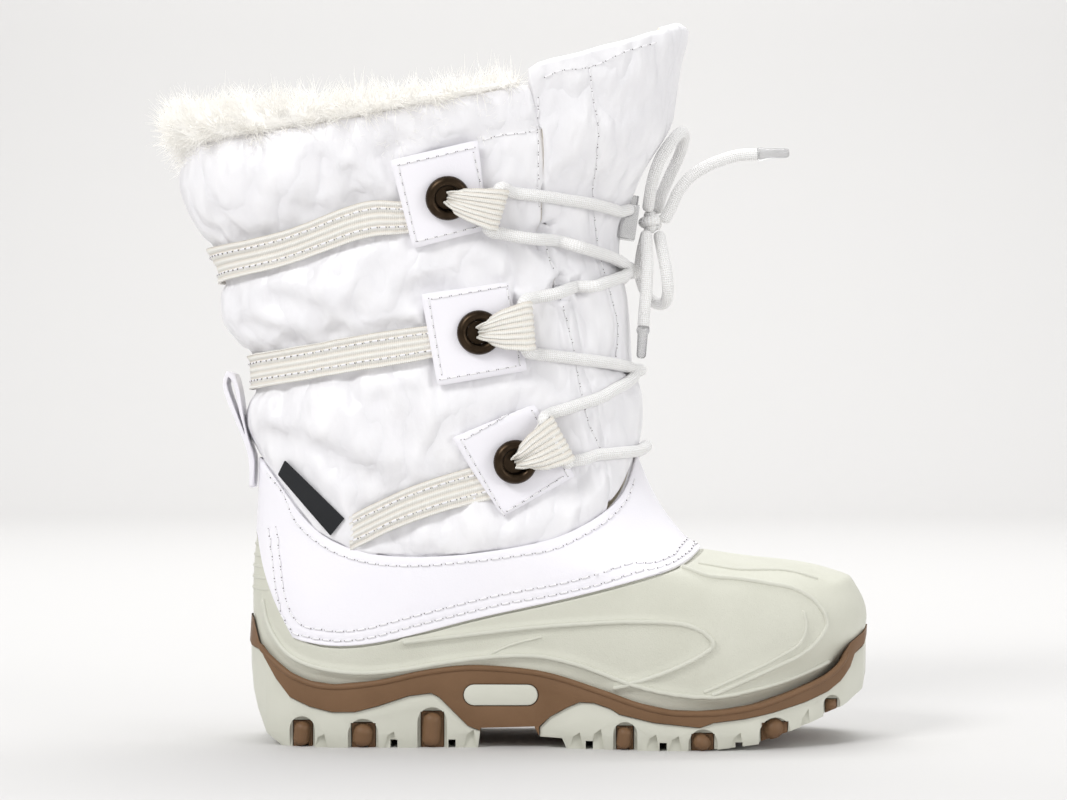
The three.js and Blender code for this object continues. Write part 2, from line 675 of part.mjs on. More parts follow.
// The pill-shaped insert in each wall of the arch
const pill = { x: 0.258, length: 0.118, h: 0.057, height: 0.09, depth: 1.1, arch: 0.012 };
function pillSolid(side, clear, depth) {
  const [half, tall] = [(pill.length * soleLength) / 2 - clear,
    (pill.height * (instepHeight - seatHeight)) / 2 - clear];
  const shape = new THREE.Shape();
  shape.moveTo(-half + tall, -tall);
  shape.lineTo(half - tall, -tall);
  shape.absarc(half - tall, 0, tall, -Math.PI / 2, Math.PI / 2, false);
  shape.lineTo(-half + tall, tall);
  shape.absarc(-half + tall, 0, tall, Math.PI / 2, (3 * Math.PI) / 2, false);
  const geometry = new THREE.ExtrudeGeometry(shape,
    { depth, bevelEnabled: false, curveSegments: 5 });
  geometry.rotateX(Math.PI / 2);
  const x = pill.x * soleLength;
  const wallY = archWall(x, side);
  geometry.translate(x, side < 0 ? wallY + depth : wallY, soleHeight(pill.h));
  return geometry;
}

// The face of the arch's wall at a length, where the insert lies flat in it
function archWall(x, side) {
  const along = (x - soleOutline.back) / (soleOutline.front - soleOutline.back);
  return side * solePlanWidth(along) + sectionValue('toeIn', 2) * swayShape(along);
}

function buildSole() {
  const hollow = footHollow();
  const cuts = grooves();
  const heel = rand(heelRandTop, heelPlugs).subtract(hollow).subtract(cuts);
  const fore = rand(foreRandTop, forePlugs).subtract(hollow).subtract(cuts);
  let brown = soleFull(0).subtract(hollow).subtract(cuts);
  brown = brown.subtract(randRoom(heelRandTop, heelPlugs));
  brown = brown.subtract(randRoom(foreRandTop, forePlugs));
  [-1, 1].forEach((side) => {
    const recess = pillSolid(side, 0, pill.depth + 0.9);
    recess.translate(0, side * 0.4, 0);
    brown = brown.subtract(solid(recess));
  });
  add('outsole', geometryFrom(largest(brown)), brownRubber);
  add('heel_rand', geometryFrom(largest(heel)), greyRubber);
  add('forefoot_rand', geometryFrom(largest(fore)), greyRubber);
}

// The insole: a felt sheet on the bed of the sole, inside the bootie
function insoleGeometry() {
  const inset = shellWall + bootieWall + 3 * layerGap + 0.4;
  const ring = (rise) => columnList.map((column) => {
    const point = offsetPoint(column, 0, -inset);
    point.z = surface(column, 0).z + rise;
    return point;
  });
  return core(columns, [ring(0.2), ring(0.2 + insoleThickness)]);
}

buildSole();
add('upper', upperGeometry(), nylon);
add('shell', shellGeometry(), greyRubber);
add('leather_band', leatherGeometry(), leatherette);
add('tongue', tongueGeometry(), nylon);
add('insole', insoleGeometry(), feltGrey);

// A patch that lies on the surface between levels of each column, as an elastic band does
function bandGeometry(placeList, lowLine, highLine, { out, thickness, cells = 3 }) {
  const levels = placeList.map((column) =>
    [levelOn(lowLine, column), levelOn(highLine, column)]);
  const level = (c, r) => between(levels[c][0], levels[c][1], r / cells);
  return wall({
    across: placeList.length,
    rows: cells + 1,
    outer: (c, r) => offsetPoint(placeList[c], level(c, r), out + thickness),
    inner: (c, r) => offsetPoint(placeList[c], level(c, r), out),
  });
}

// The two elastic bands that go round the back of the shaft, from tab to tab
const webLift = 0.8;
const roundBands = [
  {
    name: 'elastic_band_upper',
    middle: [[-0.24, 1.63], [-0.19, 1.63], [-0.08, 1.665], [0.01, 1.73], [0.105, 1.78]],
    reach: 0.092,
  },
  {
    name: 'elastic_band_middle',
    middle: [[-0.2, 1.278], [-0.136, 1.278], [-0.03, 1.312], [0.06, 1.34], [0.145, 1.37]],
    reach: 0.136,
  },
];
function roundBand({ name, middle, reach }) {
  const line = sideLine(middle);
  const end = locate(reach * soleLength, line(reach * soleLength)).column;
  const inside = columnList.filter((column) => column < end - 0.3).slice(1);
  const places = [-end, ...inside.map((column) => -column).reverse(), 0, ...inside, end];
  const low = (x) => line(x) - webWidth / 2;
  const high = (x) => line(x) + webWidth / 2;
  add(name, bandGeometry(places, low, high, { out: webLift, thickness: webThickness }), webbing);
}
roundBands.forEach(roundBand);

// The short elastic bands over the ankle, from the leather's counter to the lowest tabs
const ankleBand = sideLine([[0.0, 0.705], [0.022, 0.722], [0.086, 0.776], [0.15, 0.842],
  [0.21, 0.91]]);
const ankleBandEnds = { from: 0.045, to: 0.193 };
[-1, 1].forEach((side) => {
  const [start, end] = [ankleBandEnds.from, ankleBandEnds.to].map((share) =>
    locate(share * soleLength, ankleBand(share * soleLength)).column);
  const count = 4;
  const places = Array.from({ length: count + 1 }, (unused, k) =>
    mirrored(between(start, end, k / count), side));
  if (side > 0) places.reverse();
  const name = `elastic_band_ankle_${side < 0 ? 'lateral' : 'medial'}`;
  add(name, bandGeometry(places, (x) => ankleBand(x) - webWidth / 2,
    (x) => ankleBand(x) + webWidth / 2,
    { out: webLift, thickness: webThickness, cells: 1 }), webbing);
});

// The tabs and what each carries: corners, eyelet and the two ends of its elastic loop, in
// shares of length and height on the lateral side
const fastenings = [
  {
    name: 'upper',
    corners: [[0.124, 1.66], [0.237, 1.723], [0.223, 2.0], [0.09, 1.935]],
    eyelet: [0.176, 1.823],
    loopTop: [0.253, 1.865],
    loopFoot: [0.236, 1.725],
  },
  {
    name: 'middle',
    corners: [[0.161, 1.228], [0.297, 1.279], [0.268, 1.556], [0.136, 1.518]],
    eyelet: [0.224, 1.398],
    loopTop: [0.285, 1.49],
    loopFoot: [0.29, 1.345],
  },
  {
    name: 'lower',
    corners: [[0.261, 0.768], [0.37, 0.923], [0.308, 1.172], [0.183, 1.067]],
    eyelet: [0.277, 0.99],
    loopTop: [0.315, 1.125],
    loopFoot: [0.35, 0.985],
  },
];
const tabTop = tabGap + tabThickness;

// The place on the surface of a side-view point, with its normal, on either side
function seatOf(share, side, lift) {
  const { column, level } = locateShare(share);
  const place = mirrored(column, side);
  return {
    point: offsetPoint(place, level, lift),
    normal: surfaceNormal(place, level),
    column: place,
    level,
  };
}

// The grid of places on the surface that a tab covers
const tabCells = 3;
const tabGrid = ({ corners }) => Array.from({ length: tabCells + 1 }, (unused, r) =>
  Array.from({ length: tabCells + 1 }, (other, c) => {
    const [u, v] = [c / tabCells, r / tabCells];
    const share = [0, 1].map((k) => between(
      between(corners[0][k], corners[1][k], u),
      between(corners[3][k], corners[2][k], u), v));
    return locateShare(share);
  }));

// How high an eyelet stands over its tab: it clears the tab's corners round its foot
fastenings.forEach((fastening) => {
  const { point, normal } = seatOf(fastening.eyelet, -1, tabTop);
  const rises = tabGrid(fastening).flat().map(({ column, level }) =>
    offsetPoint(column, level, tabTop).sub(point))
    .filter((arm) => arm.length() < 2 * eyeletRadius)
    .map((arm) => arm.dot(normal));
  fastening.eyeletSeat = Math.max(0, ...rises) + 2 * layerGap;
});

// A tab: a patch of leatherette between four corners, with a hole for the elastic loop
function tabGeometry(fastening, side) {
  const { eyelet } = fastening;
  const cells = tabCells;
  const grid = tabGrid(fastening);
  const at = (c, r, lift) => {
    const { column, level } = grid[r][side < 0 ? c : cells - c];
    return offsetPoint(mirrored(column, side), level, lift);
  };
  const patch = wall({
    across: cells + 1,
    rows: cells + 1,
    outer: (c, r) => at(c, r, tabTop),
    inner: (c, r) => at(c, r, tabGap),
  });
  const { point, normal } = seatOf(eyelet, side, 0);
  const hole = new THREE.CylinderGeometry(eyeletBore, eyeletBore, 20, 8);
  hole.applyQuaternion(new THREE.Quaternion()
    .setFromUnitVectors(new THREE.Vector3(0, 1, 0), normal));
  hole.translate(point.x, point.y, point.z);
  return geometryFrom(largest(solid(patch).subtract(solid(hole))));
}

// An eyelet: a rolled metal ring that lies on its tab
function eyeletMesh(name, { eyelet, eyeletSeat }, side) {
  const low = 0;
  const roll = 0.7;
  const ring = [[eyeletBore, low], [eyeletRadius, low], [eyeletRadius - roll / 2, roll * 2],
    [(eyeletBore + eyeletRadius) / 2, eyeletHeight], [eyeletBore, eyeletHeight - roll],
    [eyeletBore, low]];
  const geometry = new THREE.LatheGeometry(ring.map(([r, h]) => new THREE.Vector2(r, h)), 10);
  const mesh = add(name, geometry, bronze);
  const { point, normal } = seatOf(eyelet, side, tabTop + eyeletSeat);
  mesh.position.copy(point);
  mesh.quaternion.setFromUnitVectors(new THREE.Vector3(0, 1, 0), normal);
}

// The frame of an elastic loop: from its eyelet towards the middle of its lace tunnel
function loopFrame({ eyelet, loopTop, loopFoot }, side) {
  const base = seatOf(eyelet, side, tabTop);
  const high = seatOf(loopTop, side, tunnelLift);
  const low = seatOf(loopFoot, side, tunnelLift);
  const middle = high.point.clone().add(low.point).multiplyScalar(0.5);
  const across = high.point.clone().sub(low.point).normalize();
  const along = middle.clone().sub(base.point);
  const normal = across.clone().cross(along).normalize().multiplyScalar(side);
  const run = normal.clone().cross(across).normalize().multiplyScalar(side);
  return { base, high, low, middle, across, normal, run, length: along.dot(run) };
}

// An elastic loop: webbing pinched in the eyelet, fanned out and folded round the lace
function loopGeometry(fastening, side) {
  const { base, middle, across, normal, run, high, low } = loopFrame(fastening, side);
  const place = (point) => {
    const arm = point.clone().sub(middle);
    return [arm.dot(run), arm.dot(normal)];
  };
  const [startRun, startRise] = place(base.point.clone().addScaledVector(base.normal, 0.5));
  const overRim = startRise + eyeletHeight + fastening.eyeletSeat + 0.5;
  const radius = loopBore + loopWall;
  const shape = new THREE.Shape();
  shape.moveTo(startRun - 1.8, startRise);
  shape.lineTo(startRun + 0.6, startRise);
  shape.lineTo(startRun + 3.1, overRim);
  shape.lineTo(startRun + eyeletRadius, overRim);
  const flare = 0.9;
  shape.absarc(0, 0, radius, Math.PI + flare, Math.PI - flare, false);
  shape.lineTo(startRun + eyeletRadius, overRim + 2 * loopWall);
  shape.lineTo(startRun + 1.2, overRim + 2 * loopWall);
  shape.lineTo(startRun - 1.8, startRise + 1.6);
  shape.closePath();
  const bore = new THREE.Path();
  bore.absarc(0, 0, loopBore, 0, 2 * Math.PI, true);
  shape.holes.push(bore);
  const geometry = new THREE.ExtrudeGeometry(shape,
    { depth: 2, bevelEnabled: false, curveSegments: 3 });
  const halfEnd = high.point.distanceTo(low.point) / 2;
  const halfWidth = smoothLine([[startRun, pinchedHalf], [startRun + eyeletBore, pinchedHalf],
    [startRun + eyeletRadius + 2, between(pinchedHalf, halfEnd, 0.75)], [0, halfEnd]]);
  const position = geometry.getAttribute('position');
  for (let k = 0; k < position.count; k += 1) {
    const [a, n, w] = [position.getX(k), position.getY(k), position.getZ(k) - 1];
    const half = Math.min(halfWidth(Math.max(a, startRun)), halfEnd);
    const point = middle.clone().addScaledVector(run, a).addScaledVector(normal, n)
      .addScaledVector(across, side * w * half);
    position.setXYZ(k, point.x, point.y, point.z);
  }
  return geometry;
}

// Where the fastening meets the front of the tongue
const frontLevels = { lock: 19.6, upperCross: 17.1, lowerCross: 12.95, bar: 10.55 };
const frontPlace = (level) => ({ column: frontColumn, level });

// The cord lock stands on the front of the tongue: out from it, across it and up along it
const lockLift = { out: 1, up: 1.4 };
const lockLevels = { foot: 18.45, head: 19.95 };
const lockFoot = surface(frontColumn, lockLevels.foot);
const lockHead = surface(frontColumn, lockLevels.head);
const lockAcross = new THREE.Vector3(0, 1, 0);
const lockUp = lockHead.clone().sub(lockFoot).normalize();
const lockOut = lockAcross.clone().cross(lockUp);
const lockBase = lockFoot.clone().lerp(lockHead, 0.5).addScaledVector(lockOut, lockLift.out)
  .addScaledVector(lockUp, lockLift.up);
const lockPlace = (out, across, up) => lockBase.clone().addScaledVector(lockOut, out)
  .addScaledVector(lockAcross, across).addScaledVector(lockUp, up);

function lockGeometry() {
  const { halfWidth, halfHeight, depth, corner, button, buttonRadius } = cordLock;
  const shape = new THREE.Shape();
  shape.moveTo(-halfWidth + corner, -halfHeight);
  shape.absarc(halfWidth - corner, -halfHeight + corner, corner, -Math.PI / 2, 0, false);
  shape.absarc(halfWidth - corner, halfHeight - corner, corner, 0, Math.PI / 2, false);
  shape.absarc(-halfWidth + corner, halfHeight - corner, corner, Math.PI / 2, Math.PI, false);
  shape.absarc(-halfWidth + corner, -halfHeight + corner, corner, Math.PI, 1.5 * Math.PI,
    false);
  const body = new THREE.ExtrudeGeometry(shape,
    { depth, bevelEnabled: false, curveSegments: 3 });
  const cap = new THREE.CylinderGeometry(buttonRadius, buttonRadius, 2 * button, 10);
  cap.translate(0, halfHeight, 0.6 * depth);
  const turned = geometryFrom(solid(body).add(solid(cap)));
  turned.applyMatrix4(new THREE.Matrix4().makeBasis(lockAcross, lockUp, lockOut)
    .setPosition(lockBase));
  return turned;
}

// A strand of the lace lies on the tongue between a loop and a place on the front, so it is
// drawn as a straight line in columns and levels and lifted off the surface
const laceRise = laceDiameter / 2 + laceLift;
function strand(start, to, count) {
  const points = [start.out];
  for (let k = 1; k <= count; k += 1) {
    const share = k / count;
    points.push(offsetPoint(between(start.column, to.column, share),
      between(start.level, to.level, share), laceRise));
  }
  return points;
}

// The lace between its loops and the cord lock, with its crossings and its bar joined
function laceGeometry() {
  const ends = [-1, 1].map((side) => fastenings.map((fastening) => {
    const { high, low, across } = loopFrame(fastening, side);
    return {
      high: { ...high, out: high.point.clone().addScaledVector(across, tunnelRun) },
      low: { ...low, out: low.point.clone().addScaledVector(across, -tunnelRun) },
    };
  }));
  const routes = [];
  const overFront = (start, level, finish) => routes.push([
    ...strand(start, frontPlace(level), 3),
    ...strand(finish, frontPlace(level), 3).reverse().slice(1)]);
  ends.forEach(([top, middle, bottom], index) => {
    const side = index === 0 ? -1 : 1;
    const other = ends[1 - index];
    overFront(top.low, frontLevels.upperCross, other[1].high);
    overFront(middle.low, frontLevels.lowerCross, other[2].high);
    if (side < 0) overFront(bottom.low, frontLevels.bar, other[2].low);
    const besideLock = { column: frontColumn + side * 1.9, level: frontLevels.lock };
    routes.push([...strand(top.high, besideLock, 2),
      ...[3, 0.7].map((aside) =>
        lockPlace(cordLock.depth / 2, side * (cordLock.halfWidth + aside), 2.6))]);
    [top, middle, bottom].forEach(({ high, low }) => routes.push([high.out, low.out]));
  });
  const knuckle = ({ out }) => {
    const ball = new THREE.IcosahedronGeometry(laceDiameter / 2 + 0.35);
    ball.translate(out.x, out.y, out.z);
    return solid(ball);
  };
  const strands = routes.map((route) => solid(cord(route, { sides: 6, stride: 2.6 })));
  const knuckles = ends.flat().flatMap(({ high, low }) => [knuckle(high), knuckle(low)]);
  const lace = [...strands, ...knuckles].reduce((sum, piece) => sum.add(piece));
  return geometryFrom(largest(lace));
}

// The knot in front of the cord lock, and the bow's routes from the middle of the knot
const knotCentre = lockPlace(cordLock.depth + layerGap + knotSize.ring * knotSize.flat, 0,
  lockLift.up);
function knotGeometry() {
  const heart = new THREE.IcosahedronGeometry(knotSize.heart, 1);
  const wrap = new THREE.TorusGeometry(knotSize.ring - laceDiameter / 2, laceDiameter / 2,
    6, 10);
  const knot = geometryFrom(solid(heart).add(solid(wrap)));
  knot.scale(knotSize.flat, 1, 1);
  knot.translate(knotCentre.x, knotCentre.y, knotCentre.z);
  return knot;
}
const bowRoutes = {
  bow_loop_upper: [[-0.8, -2.5, 5.1], [-0.3, -5, 9.5], [1, -7, 16], [3.6, -8, 23],
    [8, -6.5, 29.5], [11.5, -1, 33], [12.8, 5, 31.5], [11.5, 9.5, 26], [8.3, 9.5, 19],
    [5.2, 6.5, 12], [2.7, 2.7, 4.9]],
  bow_loop_lower: [[-1.4, 3.2, -5.1], [-2.8, 5.5, -11], [-3.4, 8, -18], [-1.6, 9.5, -25],
    [2, 8, -29.5], [5.4, 2.5, -30], [6.4, -3, -26], [5.8, -5, -19], [4.4, -3, -11],
    [3.4, 0.4, -5.1]],
  lace_end_front: [[5.4, -1.6, 1], [7.9, -2.8, 5.8], [10.4, -4, 11.2], [15.3, -5, 16.8],
    [22, -6, 20.8], [32, -6.5, 24], [38.6, -6.5, 24.4]],
  lace_end_down: [[-1.7, -4.4, -4.9], [-1.5, -5.5, -10], [-1.3, -7, -16], [-1.7, -8.5, -25],
    [-2.4, -9.5, -32], [-2.9, -10, -38.5]],
};
const aglets = { lace_end_front: 'aglet_front', lace_end_down: 'aglet_down' };
function addBow() {
  Object.entries(bowRoutes).forEach(([name, rows]) => {
    const route = rows.map((row) => new THREE.Vector3(...row).add(knotCentre));
    add(name, cord(route), braid);
    if (!aglets[name]) return;
    const [before, end] = route.slice(-2);
    const along = end.clone().sub(before).normalize();
    const tip = [0, agletLength].map((run) =>
      end.clone().addScaledVector(along, run + layerGap));
    add(aglets[name], cord(tip, { diameter: agletDiameter, stride: 9 }), clearPlastic);
  });
}

// The pull loop: a strap sewn to the counter that stands up behind the heel
function pullLoopGeometry() {
  const anchor = surface(0, topLevel[0]);
  const foot = anchor.x - leatherRise - layerGap;
  const place = ([out, up]) => new THREE.Vector2(foot - out * pullLoop.reach,
    anchor.z + up * pullLoop.height);
  const outline = [[0.05, -0.36], [0.18, -0.36], [0.16, 0], [0.42, 0.25], [0.71, 0.52],
    [0.96, 0.75], [1, 0.89], [0.86, 1], [0.6, 0.965], [0.46, 0.78], [0.38, 0.53],
    [0.28, 0.31], [0.12, 0.1], [0, 0]];
  const inside = [[0.3, 0.25], [0.58, 0.53], [0.82, 0.77], [0.87, 0.87], [0.8, 0.93],
    [0.7, 0.89], [0.58, 0.76], [0.49, 0.53], [0.35, 0.35]];
  const shape = new THREE.Shape(outline.map(place));
  shape.holes.push(new THREE.Path(inside.map(place).reverse()));
  const strap = new THREE.ExtrudeGeometry(shape, { depth: pullLoop.width,
    bevelEnabled: false });
  strap.rotateX(Math.PI / 2);
  strap.translate(0, pullLoop.width / 2, 0);
  return strap;
}

// The plain woven label over the leather's top edge, on the lateral side
function labelGeometry() {
  const corners = [[-0.087, 0.93], [-0.005, 0.69], [0.017, 0.76], [-0.076, 0.99]];
  const cells = 2;
  const seat = (c, r, lift) => {
    const [u, v] = [c / cells, r / cells];
    const share = [0, 1].map((k) => between(
      between(corners[0][k], corners[1][k], u),
      between(corners[3][k], corners[2][k], u), v));
    const { column, level } = locateShare(share);
    return offsetPoint(column, level, lift);
  };
  const low = leatherRise + layerGap;
  return wall({
    across: cells + 1,
    rows: cells + 1,
    outer: (c, r) => seat(c, r, low + labelThickness),
    inner: (c, r) => seat(c, r, low),
  });
}

// The fur: a pile ring from seam to seam inside the collar that swells over its rim, with locks
const furShare = smoothLine([[0, 1], [0.31, 0.9], [0.54, 0.68], [0.77, 0.4], [1, 0.18]]);
function furPoint(column, out, up) {
  const rim = surface(column, collarLevel);
  const normal = surfaceNormal(column, collarLevel).setZ(0).normalize();
  return rim.addScaledVector(normal, out).add(new THREE.Vector3(0, 0, up));
}

function furGeometry() {
  const end = seamColumn - 0.25;
  const places = [-end, ...Array.from({ length: 2 * seamColumn - 1 },
    (unused, k) => k + 1 - seamColumn), end];
  const inside = -nylonWall - layerGap - 0.3;
  const section = (column) => {
    const share = furShare(Math.abs(column) / seamColumn);
    const rise = furRise * share;
    const flare = furFlare * share;
    const hidden = [[furFoot, inside], [furFoot, inside - furThickness * 0.6],
      [collarLevel - 0.3, inside - furThickness]].map(([level, out]) =>
      offsetPoint(column, level, out));
    return [...hidden, ...[[inside - furThickness * 0.4, rise * 0.7],
      [-0.5, rise], [flare * 0.8, rise * 0.8], [flare, rise * 0.35 + 0.9],
      [flare * 0.3, 0.9], [inside, 0.9]].map(([out, up]) => furPoint(column, out, up))];
  };
  const rings = places.map(section);
  const around = rings[0].length;
  const points = rings.flat();
  const triangles = [];
  for (let r = 0; r < rings.length - 1; r += 1) {
    for (let k = 0; k < around; k += 1) {
      const [a, b] = [r * around + k, r * around + ((k + 1) % around)];
      triangles.push([a, b, b + around], [a, b + around, a + around]);
    }
  }
  const last = (rings.length - 1) * around;
  const cap = [[0, 1, 2], [0, 2, 8], [2, 3, 8], [3, 4, 8], [4, 5, 8], [5, 7, 8], [5, 6, 7]];
  cap.forEach(([a, b, c]) => {
    triangles.push([a, c, b]);
    triangles.push([last + a, last + b, last + c]);
  });
  const ring = solid(geometryOf(points, triangles));
  const locks = Array.from({ length: lockCount }, (unused, k) => {
    const column = between(-end + 1.2, end - 1.2, (k + 0.5) / lockCount);
    const share = furShare(Math.abs(column) / seamColumn);
    const lean = k % 2 ? 0.75 : 0.2;
    const root = furPoint(column, furFlare * share * lean - 1.5, furRise * share * 0.62);
    const tip = furPoint(column + (k % 3 - 1) * 0.22, furFlare * share * (0.5 + lean) - 1,
      furRise * share + lockLength * (0.4 + 0.6 * share) * (k % 2 ? 0.55 : 1));
    const along = tip.clone().sub(root);
    const lock = new THREE.ConeGeometry(lockRadius * (0.6 + 0.4 * share), along.length(), 5);
    lock.translate(0, along.length() / 2, 0);
    lock.applyQuaternion(new THREE.Quaternion()
      .setFromUnitVectors(new THREE.Vector3(0, 1, 0), along.normalize()));
    lock.translate(root.x, root.y, root.z);
    return solid(lock);
  });
  return geometryFrom(largest(locks.reduce((sum, lock) => sum.add(lock), ring)));
}

// The grey inserts in the walls of the arch
[-1, 1].forEach((side) => {
  const insert = pillSolid(side, notchGap, pill.depth);
  insert.translate(0, -side * 0.1, 0);
  add(`arch_insert_${side < 0 ? 'lateral' : 'medial'}`, insert, greyRubber);
});

add('lace', laceGeometry(), braid);
add('cord_lock', lockGeometry(), clearPlastic);
add('lace_knot', knotGeometry(), braid);
addBow();
add('pull_loop', pullLoopGeometry(), leatherette);
add('side_label', labelGeometry(), blackWeave);
add('collar_fur', furGeometry(), fleece);

fastenings.forEach((fastening) => {
  [-1, 1].forEach((side) => {
    const end = `${fastening.name}_${side < 0 ? 'lateral' : 'medial'}`;
    add(`tab_${end}`, tabGeometry(fastening, side), leatherette);
    eyeletMesh(`eyelet_${end}`, fastening, side);
    add(`elastic_loop_${end}`, loopGeometry(fastening, side), webbing);
  });
});

export default boot;
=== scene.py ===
# %% [markdown]
# # A child's snow boot
# The boot stands on its sole with the toe to +X and its outer side towards the camera. The
# solids come in as a fixed frame: each has the right size and place, so a piece is either a
# smoothed copy of its solid, or a new piece fitted to it.

# %% Frame
import math

import bmesh
import bpy
import numpy as np
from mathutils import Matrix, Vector, noise
from mathutils.bvhtree import BVHTree
from mathutils.kdtree import KDTree


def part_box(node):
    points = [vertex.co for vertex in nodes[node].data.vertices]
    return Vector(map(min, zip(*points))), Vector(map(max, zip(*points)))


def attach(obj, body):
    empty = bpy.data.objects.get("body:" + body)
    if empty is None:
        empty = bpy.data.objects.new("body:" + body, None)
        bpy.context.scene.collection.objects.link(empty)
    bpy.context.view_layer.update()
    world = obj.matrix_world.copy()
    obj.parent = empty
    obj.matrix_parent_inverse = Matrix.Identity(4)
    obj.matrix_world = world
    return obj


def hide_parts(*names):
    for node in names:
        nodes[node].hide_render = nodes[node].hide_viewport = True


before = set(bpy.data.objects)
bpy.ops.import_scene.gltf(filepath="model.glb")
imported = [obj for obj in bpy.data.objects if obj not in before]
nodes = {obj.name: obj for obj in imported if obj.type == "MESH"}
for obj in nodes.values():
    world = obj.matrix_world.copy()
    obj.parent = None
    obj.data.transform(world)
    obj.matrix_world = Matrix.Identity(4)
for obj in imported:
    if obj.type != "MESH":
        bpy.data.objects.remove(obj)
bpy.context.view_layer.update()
scene = bpy.context.scene
ops = bpy.ops
MM = 0.001
TURN = 2 * math.pi

# %% [markdown]
# A long lens a metre away, level with the middle of the boot, shows its outer side with little
# perspective.

# %% Camera
PICTURE = (1067, 800)
SENSOR = 36.0
FOCAL_PIXELS = 2703.0
CAMERA_PLACE = Vector((0.0713, -1.0, 0.1247))

camera_data = bpy.data.cameras.new("camera")
camera_data.sensor_width = SENSOR
camera_data.lens = SENSOR * FOCAL_PIXELS / PICTURE[0]
camera = bpy.data.objects.new("camera", camera_data)
camera.location = CAMERA_PLACE
camera.rotation_euler = (math.radians(90), 0, 0)
scene.collection.objects.link(camera)
scene.camera = camera
scene.view_settings.view_transform = "Standard"


# %% [markdown]
# Shader arithmetic reads better as Python than as wires. One small class wraps a socket, so
# that masks and mixtures are written as sums, and a second one builds a finish node by node.

# %% Shader arithmetic
class Wire:
    """A socket of a shader node; arithmetic on it adds Math nodes."""

    def __init__(self, tree, socket):
        self.tree = tree
        self.socket = socket

    def math(self, operation, *others):
        node = self.tree.nodes.new("ShaderNodeMath")
        node.operation = operation
        for slot, value in zip(node.inputs, (self, *others)):
            feed(self.tree, slot, value)
        return Wire(self.tree, node.outputs[0])

    def __add__(self, other):
        return self.math("ADD", other)

    def __sub__(self, other):
        return self.math("SUBTRACT", other)

    def __mul__(self, other):
        return self.math("MULTIPLY", other)
    __radd__ = __add__
    __rmul__ = __mul__

    def wave(self):
        return self.math("SINE")

    def size(self):
        return self.math("ABSOLUTE")

    def between(self, low, high):
        """0 below low, 1 above high, and a soft step from one to the other."""
        node = self.tree.nodes.new("ShaderNodeMapRange")
        node.interpolation_type = "SMOOTHSTEP"
        feed(self.tree, node.inputs["Value"], self)
        node.inputs["From Min"].default_value = low
        node.inputs["From Max"].default_value = high
        return Wire(self.tree, node.outputs[0])


def feed(tree, slot, value):
    if isinstance(value, Wire):
        tree.links.new(value.socket, slot)
    else:
        slot.default_value = value


class Finish:
    """A material with one Principled shader, and the record's slot that it stands for."""

    def __init__(self, name, slot, **settings):
        self.material = bpy.data.materials.new(name)
        self.material.use_nodes = True
        self.slot = slot
        self.tree = self.material.node_tree
        self.shader = self.tree.nodes["Principled BSDF"]
        self.set(**settings)

    def set(self, **sockets):
        for name, value in sockets.items():
            feed(self.tree, self.shader.inputs[name.replace("_", " ")], value)

    def node(self, kind, out=0, **sockets):
        node = self.tree.nodes.new(kind)
        for name, value in sockets.items():
            feed(self.tree, node.inputs[name], value)
        return Wire(self.tree, node.outputs[out])

    def place(self):
        return self.node("ShaderNodeTexCoord", "Object")

    def stretched(self, scale):
        return self.node("ShaderNodeMapping", Vector=self.place(), Scale=scale)

    def noise(self, scale, detail=2.0, place=None):
        return self.node("ShaderNodeTexNoise", Vector=place or self.place(), Scale=scale,
                         Detail=detail)

    def axes(self, source):
        parts = self.tree.nodes.new("ShaderNodeSeparateXYZ")
        feed(self.tree, parts.inputs[0], source)
        return [Wire(self.tree, socket) for socket in parts.outputs]

    def uv(self):
        return self.axes(self.node("ShaderNodeTexCoord", "UV"))[:2]

    def mix(self, factor, first, second):
        node = self.tree.nodes.new("ShaderNodeMix")
        node.data_type = "RGBA"
        feed(self.tree, node.inputs["Factor"], factor)
        for slot, color in zip((node.inputs[6], node.inputs[7]), (first, second)):
            feed(self.tree, slot, color if isinstance(color, Wire) else (*color, 1.0))
        return Wire(self.tree, node.outputs[2])

    def bump(self, height, distance, strength, under=None):
        lower = {"Normal": under} if under else {}
        return self.node("ShaderNodeBump", Height=height, Distance=distance, Strength=strength,
                         **lower)


def tint(hexadecimal):
    """A colour seen in the picture, as linear numbers."""
    shares = [int(hexadecimal[k:k + 2], 16) / 255 for k in (0, 2, 4)]
    return tuple(s / 12.92 if s <= 0.04045 else ((s + 0.055) / 1.055) ** 2.4 for s in shares)


# %% [markdown]
# The padded nylon is glossy and nearly white. Its weave is too fine to see, but every small
# pucker catches the light, so two sizes of soft crinkle sit in the bump. The larger crinkle
# also paints the colour: painted shade in its valleys, a lighter tint on its crests.

# %% Nylon, coated leather and felt
NYLON_THREADS = 9000  # radians of the weave's wave in a metre
nylon = Finish("glossy_nylon", "quilted_nylon", Roughness=0.3, Specular_IOR_Level=0.55)
crinkle = (nylon.noise(70, 2.0, nylon.stretched((1.0, 1.0, 0.5))) - 0.5).size() * 4.0
pucker = nylon.noise(330, 2.0, nylon.stretched((1.2, 1.2, 0.6)))
weave_x, _, weave_z = nylon.axes(nylon.place())
weave = (weave_x * NYLON_THREADS).wave() * (weave_z * NYLON_THREADS).wave()
# Painted shade: the base colour is darker in the crinkle's valleys and lighter on its crests.
nylon.set(Base_Color=nylon.mix(crinkle, tint("eeedf0"), tint("f8f7f9")),
          Roughness=0.3 + 0.14 * pucker,
          Normal=nylon.bump(weave, 0.00003, 0.3, nylon.bump(
              crinkle * 0.8 + pucker * 0.2, 0.0016, 0.8)))

leather = Finish("coated_leather", "synthetic_leather", Specular_IOR_Level=0.5)
grain = leather.noise(1500, 3.0)
cloud = leather.noise(28, 2.0)
leather.set(Base_Color=leather.mix(cloud, tint("f3f1f8"), tint("faf8fc")),
            Roughness=0.3 + 0.12 * grain,
            Normal=leather.bump(grain, 0.00012, 0.5))

